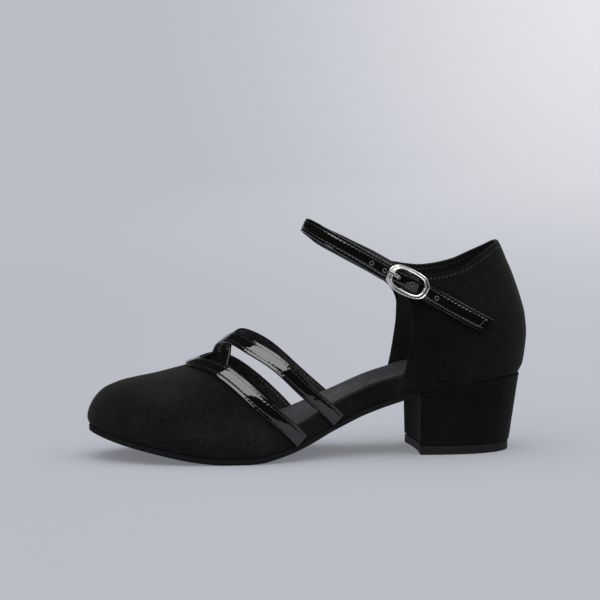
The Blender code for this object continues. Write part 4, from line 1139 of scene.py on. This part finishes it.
def plan_stations(inset, last, toe_steps=60, waist_steps=70, heel_steps=40):
    tip = x_of(SOLE_TIP) + inset
    ball, seat = x_of(GIRTH_STATIONS[LATERAL].ball), x_of(GIRTH_STATIONS[LATERAL].seat)
    places = [tip + (ball - tip) * (1 - math.cos(i / toe_steps * math.pi / 2))
              for i in range(toe_steps)]
    if last <= seat:
        return places + [blend(ball, last, i / waist_steps) for i in range(waist_steps + 1)]
    places += [blend(ball, seat, i / waist_steps) for i in range(waist_steps)]
    turn = math.pi / 2 / heel_steps
    return places + [seat + (last - seat) * math.sin(i * turn) ** (2 / HEEL_FULLNESS)
                     for i in range(heel_steps + 1)]


def section_across(x, inset, levels):
    """Closed section at this x from levels of height, share of the half breadth, and inset."""
    right, left = edge(MEDIAL, x, inset), edge(LATERAL, x, inset)
    middle = (right + left) / 2
    right, left = max(right, middle), min(left, middle)
    lefts = [Vector((x, blend(middle, left, share) + inward, z)) for z, share, inward in levels]
    rights = [Vector((x, blend(middle, right, share) - inward, z)) for z, share, inward in levels]
    return lefts[::-1] + rights


def plan_solid(name, sections, *materials):
    mesh = bmesh.new()
    cap_ends(mesh, grid(mesh, [section + section[:1] for section in sections]))
    return new_piece(name, mesh, *materials)


print("stations of the sole:", len(plan_stations(0.0, x_of(BREAST) - GAP)))

# %% [markdown]
# ## Sole and insole
# The sole is skived thin towards the heel's breast, and its lower edge is chamfered, so that it looks
# light. The insole's top stands a little above the waist band. Both are lofts of closed sections.

# %% Sole and insole
sections = []
for x in plan_stations(0.0, x_of(BREAST) - GAP):
    thickness = blend(SOLE_THICKNESS, SOLE_END, ease((x - x_of(0.63)) / (x_of(BREAST) - x_of(0.63))))
    top, bottom = feather(x) - GAP, feather(x) - thickness
    chamfer = SOLE_CHAMFER * max(min((x - x_of(SOLE_TIP)) / 0.004, 1.0), 0.02)
    levels = [(bottom, 0.0, 0.0), (bottom, 0.5, 0.0), (bottom, 1.0, chamfer),
              (bottom + chamfer, 1.0, 0.0), (top, 1.0, 0.0), (top, 0.5, 0.0), (top, 0.0, 0.0)]
    sections.append(section_across(x, 0.0, levels))
outsole = plan_solid("suede_outsole", sections, sole_suede)
softened(outsole, SOLE_ROUND, 2)
finish_piece(outsole, "sole_suede", "outsole")

sections = []
inset = FEATHER_INSET + WALL + 2 * GAP
for x in plan_stations(inset, x_of(SOLE_BACK) - inset):
    top = feather(x) + footbed_share(station_of(x)) * FOOTBED
    levels = [(feather(x), 0.0, 0.0), (feather(x), 1.0, 0.0), (top, 1.0, 0.0)]
    levels += [(top, share, 0.0) for share in (0.93, 0.86, 0.7, 0.5, 0.25, 0.0)]
    sections.append(section_across(x, inset, levels))
insole = plan_solid("sock_insole", sections, sock)
softened(insole, SOCK_ROUND)
finish_piece(insole, "grey_sock", "insole")


print("sole and insole:", len(outsole.data.polygons), len(insole.data.polygons), "faces")

# %% [markdown]
# ## Heel and lift
# The block follows the seat's outline at its top and draws in towards the base, and its breast is
# hollow. The lift has the base's outline. Just under the seat the cover turns in, and that narrow
# recess gets a dark material of its own, a painted shade.

# %% Heel block and top lift
BLOCK_STEPS = 12


def heel_ring(rise, inset, side_steps=14, round_steps=26, breast_steps=12):
    """(x, y) round the heel at this rise: 0 is its base and 1 its top."""
    breast, back = x_of(BREAST), x_of(SOLE_BACK)
    length = blend(BASE_LENGTH / (back - breast), 1.0, rise)
    width = blend(BASE_WIDTH_SHARE, 1.0, rise)
    seat = (x_of(GIRTH_STATIONS[LATERAL].seat) - breast) / (back - breast)
    shares = [seat * i / side_steps for i in range(side_steps)]
    shares += [blend(seat, 1.0, math.sin(i / round_steps * math.pi / 2) ** (2 / HEEL_FULLNESS))
               for i in range(round_steps + 1)]
    centre = breast - BREAST_RADIUS + BREAST_HOLLOW
    walls = {}
    for side in (LATERAL, MEDIAL):
        points = []
        for share in shares:
            x = blend(breast, back, share)
            place = breast + (x - breast) * length + (0.5 - share) * 2 * inset
            y = side * max(abs(edge(side, x)) * width - inset, 0.0)
            points.append((max(place, centre + math.sqrt(BREAST_RADIUS ** 2 - y * y)), y))
        walls[side] = points
    low, high = walls[LATERAL][0][1], walls[MEDIAL][0][1]
    across = [blend(low, high, i / breast_steps) for i in range(1, breast_steps)]
    face = [(centre + math.sqrt(BREAST_RADIUS ** 2 - y * y), y) for y in across]
    return walls[LATERAL][::-1] + face + walls[MEDIAL][:-1]


def heel_solid(name, levels, *materials):
    """Stack of heel outlines from (rise, inset, height function) levels."""
    mesh = bmesh.new()
    columns = list(zip(*[[Vector((x, y, height(x))) for x, y in heel_ring(rise, inset)]
                         for rise, inset, height in levels]))
    made = grid(mesh, columns, closed=True)
    mesh.faces.new([column[0] for column in made])
    mesh.faces.new([column[-1] for column in made])
    return new_piece(name, mesh, *materials)


shares = [i / BLOCK_STEPS for i in range(BLOCK_STEPS)]
block = [(share, 0.0, lambda x, share=share: blend(LIFT_THICKNESS + GAP, feather(x) - GAP, share))
         for share in shares]
recess = ((0.0, RECESS_HEIGHT), (RECESS_DEPTH, RECESS_DEPTH), (RECESS_DEPTH, 0.0))
block += [(1.0, inset, lambda x, fall=fall: feather(x) - GAP - fall) for inset, fall in recess]
heel = heel_solid("covered_heel", block, heel_suede_painted_shade, dark_thread_and_recess_shade)
# The faces of the recess take the dark material, a painted shade.
for face in heel.data.polygons:
    face.material_index = int(face.center.z > feather(face.center.x) - GAP - RECESS_HEIGHT)
softened(heel, HEEL_ROUND, crisp=lambda point: point.z > feather(point.x) - RECESS_CRISP)
finish_piece(heel, "black_suede", "heel")
lift = heel_solid("top_lift", [(0.0, LIFT_INSET, lambda x: 0.0),
                               (0.0, LIFT_INSET, lambda x: LIFT_THICKNESS)], rubber)
softened(lift, LIFT_ROUND)
finish_piece(lift, "grey_rubber", "heel_lift")
print("heel and lift:", len(heel.data.polygons), len(lift.data.polygons), "faces")


# %% [markdown]
# ## Patent straps
# A strap is two layers of patent leather folded over at the edges and sewn along both sides, so its
# middle swells a little between two rows of stitches that pull the face down. The profile below has
# that swelling, the pulled rows and the rounded folds, and it is carried along the strap's path.

# %% Strap profile
ROW_INSET, HOLE_PULL, HOLE_REACH = 0.00185, 0.00012, 0.00042
STITCH_PITCH, STITCH_LENGTH, STITCH_RADIUS = 0.0024, 0.0016, 0.00021
PROFILE_STEPS = 34
# Height of the outer face below its middle, in metres, over the distance from the strap's edge: the
# rolled edge, the bead beside it, the slope down to the bead and the sewn row
Fold = namedtuple("Fold", "inset height")
FOLDS = rows_of(Fold, (
    (0, -0.0008), (0.0001, -0.00045), (0.00024, -0.00018), (0.00038, -0.00009), (0.00052, -0.00015),
    (0.00068, -0.00018), (0.001, -0.00016), (0.0015, -0.00013), (0.00185, -0.00013),
    (0.00225, -0.00005), (0.003, 0), (0.0048, 0.00003), (0.007, 0.00005)
))
fold_height = Curve(FOLDS)


def strap_profile(half_width, thickness, pulled):
    """(across, height, kind) over the outer face and back along the inner face of a strap. Pulled is
    how deep the needle holes draw the sewn rows down here, from 0 to 1."""
    outer, inner = [], []
    for i in range(PROFILE_STEPS + 1):
        across = half_width * math.sin((i / PROFILE_STEPS - 0.5) * math.pi)
        inset = half_width - abs(across)
        pull = HOLE_PULL * pulled * math.exp(-((inset - ROW_INSET) / HOLE_REACH) ** 2)
        outer.append((across, thickness + fold_height(inset) - pull))
        if 0 < i < PROFILE_STEPS and i % 4 == 1:
            inner.append((across, 0.0))
    return outer + inner[::-1]


def lasted_frame(x, turn, step):
    """How x and turn change for a metre straight across a strap that runs along this step."""
    _, normal, along, across = surface_frame(x, turn)
    sideways = normal.cross(along * step[0] + across * step[1]).normalized()
    shear = along.dot(across)
    gram = along.length_squared * across.length_squared - shear ** 2
    a, b = sideways.dot(along), sideways.dot(across)
    return ((a * across.length_squared - b * shear) / gram,
            (b * along.length_squared - a * shear) / gram)


print("steps across a strap:", PROFILE_STEPS)

# %% [markdown]
# ## Carrying the profile
# The two kinds of strap differ only in where their points lie, so both answer the same calls, and one
# function builds either. A curve object with a bevel would do for a plain strap, but it can't pull the
# face down at each needle hole.

# %% Paths that carry a strap
class LastedPath:
    """Strap on the last: gives the points at a share of its length, offset across and raised."""

    def __init__(self, rows, lift, last):
        runs = along_route([lasted_point(x_of(row.station), row.turn) for row in rows])
        self.length, self.lift = runs[-1], lift
        self.first, self.last = 0.02, last
        self.stations = Bend([(run / runs[-1], row.station) for run, row in zip(runs, rows)])
        self.turns = Bend([(run / runs[-1], row.turn) for run, row in zip(runs, rows)])

    def half_width(self, u):
        return INSTEP_STRAP_WIDTH / 2

    def points(self, u, profile):
        before, after = max(u - 0.01, 0.0), min(u + 0.01, 1.0)
        step = (x_of(self.stations(after)) - x_of(self.stations(before)),
                self.turns(after) - self.turns(before))
        x, turn = x_of(self.stations(u)), self.turns(u)
        to_x, to_turn = lasted_frame(x, turn, step)
        made = []
        for across, height in profile:
            base, normal, _, _ = surface_frame(x + to_x * across, turn + to_turn * across)
            made.append(base + normal * (self.lift(u) + height))
        return made


class WornPath:
    """The ankle strap round its loop, with the same calls as a strap on the last."""

    def __init__(self, path):
        self.path, self.length = path, path.length
        self.first, self.last = 0.014, 0.985

    def half_width(self, u):
        return ANKLE_WIDTH * self.path.width(u * self.length) / 2

    def points(self, u, profile):
        run = u * self.length
        middle, along, up, outward = self.path.frame(run)
        slant = TAIL_SLANT / 2 * (1 - ease(run / 0.0084)) / self.half_width(u)
        return [middle - up * across + along * slant * across
                + outward * (height - ANKLE_THICKNESS / 2) for across, height in profile]


def sewn(path):
    """How many stitches the sewn rows of a path hold."""
    return round((path.last - path.first) * path.length / STITCH_PITCH)


def hole_pull(path, u):
    """1 at a needle hole, 0 between holes and past the ends of the rows."""
    place = (u - path.first) / (path.last - path.first) * sewn(path)
    if not -0.5 < place < sewn(path) + 0.5:
        return 0.0
    away = (place - round(place)) * STITCH_PITCH
    return math.exp(-(away / HOLE_REACH) ** 2)


def strap_piece(name, path, thickness):
    """Closed strap along a path: its outer face is patent leather, its inner face the lining."""
    steps = round(path.length / STITCH_PITCH * 6)
    mesh = bmesh.new()
    rings = []
    for i in range(steps + 1):
        u = i / steps
        profile = strap_profile(path.half_width(u), thickness, hole_pull(path, u))
        rings.append(path.points(u, profile))
    made = grid(mesh, [ring + ring[:1] for ring in rings])
    outer = PROFILE_STEPS + 1
    for number, face in enumerate(mesh.faces):
        face.material_index = 1 if number % len(rings[0]) >= outer else 0
    cap_ends(mesh, made)
    return new_piece(name, mesh, patent, strap_lining)


def join(pieces):
    activate(pieces[0])
    for piece in pieces:
        piece.select_set(True)
    bpy.ops.object.join()
    return pieces[0]


print("stitches on each side of a strap are", STITCH_PITCH * 1000, "mm apart")

# %% [markdown]
# ## The straps themselves
# The throat strap binds the vamp's edge. The upper of the two crossed straps rises over the lower one,
# and the far ends of both are tucked in under the vamp, so each path has a lift along its length.

# %% Straps
tucked = -STRAP_THICKNESS - TUCK_DROP
throat_path = LastedPath(THROAT, lambda u: GAP, 0.98)
crossing = GAP + CROSSING_LIFT
over_lift = Curve([(0.0, GAP), (0.58, GAP), (0.72, crossing), (0.84, crossing), (0.955, tucked),
                   (1.0, tucked)])
over_path = LastedPath(OVER_STRAP, over_lift, 0.90)
under_lift = Curve([(0.0, GAP), (0.84, GAP), (0.955, tucked), (1.0, tucked)])
under_path = LastedPath(UNDER_STRAP, under_lift, 0.90)
throat = finish_piece(strap_piece("patent_throat_strap", throat_path, STRAP_THICKNESS),
                      "black_patent", "throat_strap", angle=70)
crossed = join([strap_piece("patent_cross_straps", over_path, STRAP_THICKNESS),
                strap_piece("lower_cross_strap", under_path, STRAP_THICKNESS)])
finish_piece(crossed, "black_patent", "cross_straps", angle=70)
worn_path = WornPath(ankle_path)
ankle = strap_piece("patent_ankle_strap", worn_path, ANKLE_THICKNESS)
print("straps:", [len(item.data.polygons) for item in (throat, crossed, ankle)])

# %% [markdown]
# ## Holes and stitches
# The ankle strap is punched on one line, and each hole has a pressed ring. Rows of lockstitch run down
# both edges of every strap. Small capsules laid along the rows are the thread, each sunk half into the
# leather, because at this size a bump map alone doesn't catch the light.

# %% Punched holes
def cylinder(mesh, sides, radius, depth, place):
    bmesh.ops.create_cone(mesh, cap_ends=True, segments=sides, radius1=radius, radius2=radius,
                          depth=depth, matrix=place)


# The punch is narrower than the pressed ring and stops in the strap, so that no paper shows through
PUNCH_RADIUS, PUNCH_OUT = HOLE_DIAMETER / 3, 0.7
RING_RADIUS, RING_TUBE, RING_LIFT = 0.00110, 0.00024, 0.00004
holes = [ankle_path.buckle + PRONG_REACH + number * HOLE_PITCH for number in range(-3, 3)]
mesh = bmesh.new()
for run in holes:
    cylinder(mesh, 32, PUNCH_RADIUS, 2 * ANKLE_THICKNESS, on_strap(run, PUNCH_OUT * ANKLE_THICKNESS))
cutter = new_piece("hole_punch", mesh)
punched = ankle.modifiers.new("holes", "BOOLEAN")
punched.operation, punched.object, punched.solver = "DIFFERENCE", cutter, "EXACT"
activate(ankle)
bpy.ops.object.modifier_apply(modifier="holes")
bpy.data.objects.remove(cutter, do_unlink=True)
finish_piece(ankle, "black_patent", "ankle_strap", angle=70)


def torus(mesh, place, ring, tube, ring_steps=28, tube_steps=10):
    columns = []
    for i in range(ring_steps):
        angle = 2 * math.pi * i / ring_steps
        column = []
        for k in range(tube_steps + 1):
            turn = 2 * math.pi * k / tube_steps
            reach = ring + tube * math.cos(turn)
            column.append(place @ Vector((reach * math.cos(angle), reach * math.sin(angle),
                                          tube * 0.5 * math.sin(turn))))
        columns.append(column)
    grid(mesh, columns, closed=True)


mesh = bmesh.new()
for run in holes:
    torus(mesh, on_strap(run, ANKLE_THICKNESS / 2 + RING_LIFT), RING_RADIUS, RING_TUBE)
rings = finish_piece(new_piece("punched_hole_rings", mesh, ring_highlight), "black_patent")
print("rings:", len(rings.data.polygons), "faces")

# %% [markdown]
# ## Thread
# One stitch is a capsule with a few faces, because there are hundreds of them. It is laid between each
# two needle holes of a row, on the face and on the lining of every strap, and a short row closes the
# slanted tip.

# %% Rows of stitches
THREAD_SUNK = 0.00003
# A stitch's outline: place along it, past 0..1 in diameters of thread, and share of its radius
CAPSULE = ((-0.5, 0.0), (-0.25, 0.75), (0.0, 1.0), (1.0, 1.0), (1.25, 0.75), (1.5, 0.0))


def stitch(mesh, start, end, radius, sides=6):
    """Capsule of thread between two points."""
    run = end - start
    turn = run.to_track_quat("Z", "Y").to_matrix().to_4x4()
    place = Matrix.Translation(start) @ turn
    columns = []
    for i in range(sides):
        angle = 2 * math.pi * i / sides
        column = []
        for along, swell in CAPSULE:
            inside = min(max(along, 0.0), 1.0)
            z = run.length * inside + 2 * radius * (along - inside)
            column.append(place @ Vector((radius * swell * math.cos(angle),
                                          radius * swell * math.sin(angle), z)))
        columns.append(column)
    grid(mesh, columns, closed=True)


def row_of_stitches(mesh, path, side, height):
    """One stitch between each two needle holes of a path's row on this side."""
    half = STITCH_LENGTH / 2 / path.length
    for number in range(sewn(path)):
        u = path.first + (path.last - path.first) * (number + 0.5) / sewn(path)
        ends = [path.points(v, [(side * (path.half_width(v) - ROW_INSET), height)])[0]
                for v in (u - half, u + half)]
        stitch(mesh, *ends, STITCH_RADIUS)


mesh = bmesh.new()
for side in (-1, 1):
    for path, thickness in ((throat_path, STRAP_THICKNESS), (over_path, STRAP_THICKNESS),
                            (under_path, STRAP_THICKNESS), (worn_path, ANKLE_THICKNESS)):
        row_of_stitches(mesh, path, side, thickness + fold_height(ROW_INSET) - THREAD_SUNK)
        row_of_stitches(mesh, path, side, THREAD_SUNK)
tip_row = (ANKLE_WIDTH / 2 - ROW_INSET) * 2 / 3
for number in range(3):
    places = [(number - 1.5 + part) * tip_row for part in (0.15, 0.85)]
    ends = [worn_path.points(worn_path.first, [(across, ANKLE_THICKNESS)])[0] for across in places]
    stitch(mesh, *ends, STITCH_RADIUS)
stitches = finish_piece(new_piece("strap_stitches", mesh, thread), "black_patent")
print("stitches:", len(stitches.data.polygons), "faces")


# %% [markdown]
# ## Seams of the upper
# The counter's topline and its front edge are turned in and sewn to the lining, so a row shows on both
# faces of the wall. The topline's row lies slantwise, as a heavy needle leaves it. A finer row runs
# round the vamp just above the sole. These are capsules like the straps' stitches, in suede's own
# thread.

# %% Rows on the counter and round the vamp
TOPLINE_INSET, FRONT_INSET, SEAM_SUNK = 0.0027, 0.0030, 0.00005
SEAM_PITCH, SEAM_STITCH, SEAM_DOT, SEAM_SLANT, SEAM_RADIUS = 0.0024, 0.0014, 0.0002, 0.7, 0.00022
WELT_RISE, WELT_PITCH, WELT_RADIUS = 0.0012, 0.0021, 0.00020


def counter_spot(side, along, share, depth=0.0):
    """Point on the counter, moved inwards by the depth, and the outward normal."""
    point = lapped(side, along, share)
    before, under = lapped(side, max(along - 0.01, 0.001), share), lapped(side, along, share - 0.01)
    normal = (point - before).cross(point - under).normalized()
    if normal.dot(Vector((point.x - x_of(0.80), point.y, 0))) < 0:
        normal = -normal
    return point - normal * depth, normal


def sew(mesh, route, pitch, length, radius, slant=0.0):
    """Stitches along a route of (point, normal), each turned by the slant's rise to its run."""
    runs = along_route([point for point, _ in route])
    axes = [Curve(list(zip(runs, [point[k] for point, _ in route]))) for k in range(3)]
    normals = [Curve(list(zip(runs, [normal[k] for _, normal in route]))) for k in range(3)]
    for number in range(int(runs[-1] / pitch)):
        run = (number + 0.5) * pitch
        ends = [Vector([axis(run + half) for axis in axes]) for half in (-length / 2, length / 2)]
        along = (ends[1] - ends[0]).normalized()
        sideways = Vector([axis(run) for axis in normals]).cross(along)
        sideways *= math.copysign(slant * length / 2, sideways.z)
        stitch(mesh, ends[0] - sideways, ends[1] + sideways, radius)


mesh, sunk = bmesh.new(), bmesh.new()
for side in (LATERAL, MEDIAL):
    for depth in (SEAM_SUNK, WALL - SEAM_SUNK):
        topline = []
        for i in range(81):
            along = 0.03 + 1.96 * i / 80
            height = counter_point(side, along, 1.0).z - counter_point(side, along, 0.0).z
            topline.append(counter_spot(side, along, 1 - TOPLINE_INSET / height, depth))
        sew(mesh, topline, SEAM_PITCH, SEAM_STITCH, 1.1 * SEAM_RADIUS, SEAM_SLANT)
        front = []
        for i in range(41):
            share = 0.02 + 0.94 * i / 40
            length = x_of(0.83) - x_of(front_station(share))
            front.append(counter_spot(side, FRONT_INSET / length, share, depth))
        sew(mesh, front, SEAM_PITCH, SEAM_DOT, SEAM_RADIUS)
    welt = []
    for i in range(121):
        x = blend(x_of(SOLE_TIP) + FEATHER_INSET + 0.0006, x_of(0.675), (i / 120) ** 1.6)
        point, normal, _, _ = surface_frame(x, turn_at_height(side, x, WELT_RISE))
        welt.append((point, normal))
    sew(sunk, welt, WELT_PITCH, SEAM_STITCH, WELT_RADIUS)
seams = finish_piece(new_piece("upper_stitches", mesh, suede_thread), "black_suede")
welt_rows = finish_piece(new_piece("welt_stitches", sunk, dark_thread_and_recess_shade), "black_suede")
print("upper stitches:", len(seams.data.polygons), "and", len(welt_rows.data.polygons), "faces")


# %% [markdown]
# ## Buckle
# The frame is cast nickel with a raised inner ridge, a groove, and a rolled outer rim, wider at the
# end where the prong rests. Its rim is lofted round an oval. A flat prong lies over it from the bar.

# %% Buckle frame and bar
buckle_place = on_strap(ankle_path.buckle)
Rim = namedtuple("Rim", "share drop crown")
RIM = rows_of(Rim, (
    (0, 1, 0.45), (0.13, 0.62, 0.48), (0.26, 0.22, 0.56), (0.45, 0.04, 0.7), (0.75, 0, 0.92),
    (1, 0, 1)
))
# The rim's section from outside to inside: share of the rim's width, share of its height, and how
# much painted dark reflection the nickel gets there
RIM_SECTION = (
    (0.0, 0.0, 0.0), (0.0, 0.40, 0.0), (0.03, 0.56, 0.0), (0.08, 0.66, 0.0), (0.14, 0.68, 0.0),
    (0.20, 0.62, 0.1), (0.26, 0.52, 0.6), (0.34, 0.44, 1.0), (0.43, 0.44, 0.9), (0.50, 0.55, 0.4),
    (0.56, 0.72, 0.0), (0.62, 0.88, 0.0), (0.70, 0.98, 0.0), (0.78, 1.0, 0.0), (0.86, 0.97, 0.0),
    (0.92, 0.86, 0.1), (0.97, 0.66, 0.8), (1.0, 0.45, 1.0), (1.0, 0.0, 1.0))
BUCKLE_RIM, BUCKLE_LEFT_RIM, BUCKLE_RIGHT_RIM = 0.0024, 0.0036, 0.0034
OPENING_POWER, RIM_STEPS, BAR_INSET = 3.4, 144, 0.0017
# Where the rim faces this way, towards the light, its hollows get no painted dark reflection
BRIGHT_WAY = Vector((-0.6, 0, 0.8))


def powered(value, power):
    """Power of a value that keeps its sign."""
    return math.copysign(abs(value) ** power, value)


def oval(angle, half_length, half_width, power):
    return (powered(math.cos(angle), 2 / power) * half_length,
            powered(math.sin(angle), 2 / power) * half_width)


drop, crown = column(RIM, "drop"), column(RIM, "crown")
mesh = bmesh.new()
painted_dark_reflection = mesh.verts.layers.float.new("painted_dark_reflection")
rings = []
for i in range(RIM_STEPS):
    angle = 2 * math.pi * (i + 0.5) / RIM_STEPS
    c = abs(math.cos(angle))
    end_rim = BUCKLE_LEFT_RIM if math.cos(angle) > 0 else BUCKLE_RIGHT_RIM
    rim = blend(BUCKLE_RIM, end_rim, c * c)
    low = FRAME_SEAT - drop(c) * (FRAME_SEAT + BAR_DEPTH + BAR_DIAMETER / 2)
    high = FRAME_SEAT + crown(c) * BUCKLE_DEPTH
    ring = []
    for inset, share, _ in RIM_SECTION:
        x, y = oval(angle, BUCKLE_LENGTH / 2 - inset * rim, BUCKLE_WIDTH / 2 - inset * rim,
                    blend(BUCKLE_POWER, OPENING_POWER, inset))
        z = low if share == 0.0 else blend(high - BUCKLE_DEPTH * 0.9, high, share)
        ring.append(buckle_place @ Vector((x, y, max(z, low))))
    rings.append(ring + ring[:1])
made = grid(mesh, rings, closed=True)
middle = buckle_place @ Vector((0, 0, 0))
for ring in made:
    facing_lamp = (ring[1].co - middle).normalized().dot(BRIGHT_WAY)
    for point, (_, _, depth) in zip(ring, RIM_SECTION):
        point[painted_dark_reflection] = depth * (1 - ease((facing_lamp + 0.1) / 0.6))
bar_place = buckle_place @ Matrix.Translation((0, 0, -BAR_DEPTH))
bar_place @= Matrix.Rotation(math.pi / 2, 4, "X")
cylinder(mesh, 24, BAR_DIAMETER / 2, BUCKLE_WIDTH - BAR_INSET, bar_place)
buckle = new_piece("nickel_buckle_frame", mesh, nickel)
finish_piece(buckle, "polished_nickel", "buckle_frame")

print("buckle frame:", len(buckle.data.polygons), "faces")

# %% [markdown]
# ## Prong
# The prong is one bent piece: it starts at the bar, comes up through a hole of the strap and lies flat
# over the frame's end. Its section is a rounded rectangle, which is carried along that line.

# %% Prong
top = FRAME_SEAT + BUCKLE_DEPTH + GAP + PRONG_DIAMETER / 2
route = [(BAR_DIAMETER / 2 + GAP, -BAR_DEPTH), (PRONG_REACH - 0.0014, -BAR_DEPTH),
         (PRONG_REACH - 0.0003, -BAR_DEPTH + 0.0009), (PRONG_REACH, -ANKLE_THICKNESS),
         (PRONG_REACH, ANKLE_THICKNESS), (PRONG_REACH + 0.0010, top - 0.0008),
         (PRONG_REACH + 0.0026, top), (BUCKLE_LENGTH / 2 + 0.0002, top)]
runs = along_route([Vector((x, 0, z)) for x, z in route])
along_x = Curve([(run, x) for run, (x, _) in zip(runs, route)])
along_z = Curve([(run, z) for run, (_, z) in zip(runs, route)])
mesh = bmesh.new()
rings = []
painted_dark_reflection = mesh.verts.layers.float.new("painted_dark_reflection")
for i in range(61):
    run = runs[-1] * i / 60
    before, after = run - 0.0002, run + 0.0002
    rise, reach = along_z(after) - along_z(before), along_x(after) - along_x(before)
    normal = Vector((-rise, 0, reach)).normalized()
    flattened = ease((run - 0.004) / 0.003)
    half_width = blend(0.0007, 0.0009, flattened)
    half_height = PRONG_DIAMETER / 2 * blend(1.0, 0.7, flattened)
    ring = []
    for k in range(16):
        turn = 2 * math.pi * k / 16
        across = Vector((0, half_width * powered(math.cos(turn), 0.3), 0))
        raised = normal * half_height * powered(math.sin(turn), 0.3)
        ring.append(buckle_place @ (Vector((along_x(run), 0, along_z(run))) + across + raised))
    rings.append(ring)
made = grid(mesh, [ring + ring[:1] for ring in rings])
# A stripe along the prong's top gets half the painted dark reflection.
for ring in made:
    for k in (3, 4, 5):
        ring[k][painted_dark_reflection] = 0.5
cap_ends(mesh, made)
prong = finish_piece(new_piece("nickel_prong", mesh, nickel), "polished_nickel", "buckle_prong")
print("prong:", len(prong.data.polygons), "faces")

# %% [markdown]
# ## Chape
# The short strap that holds the buckle's bar is nearly all hidden under it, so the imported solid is
# good enough as it is and only gets the patent material.

# %% Chape
chape = frame["nodes"]["buckle_chape"]
chape.data.materials.clear()
chape.data.materials.append(patent)
print("chape keeps its own solid, in patent")
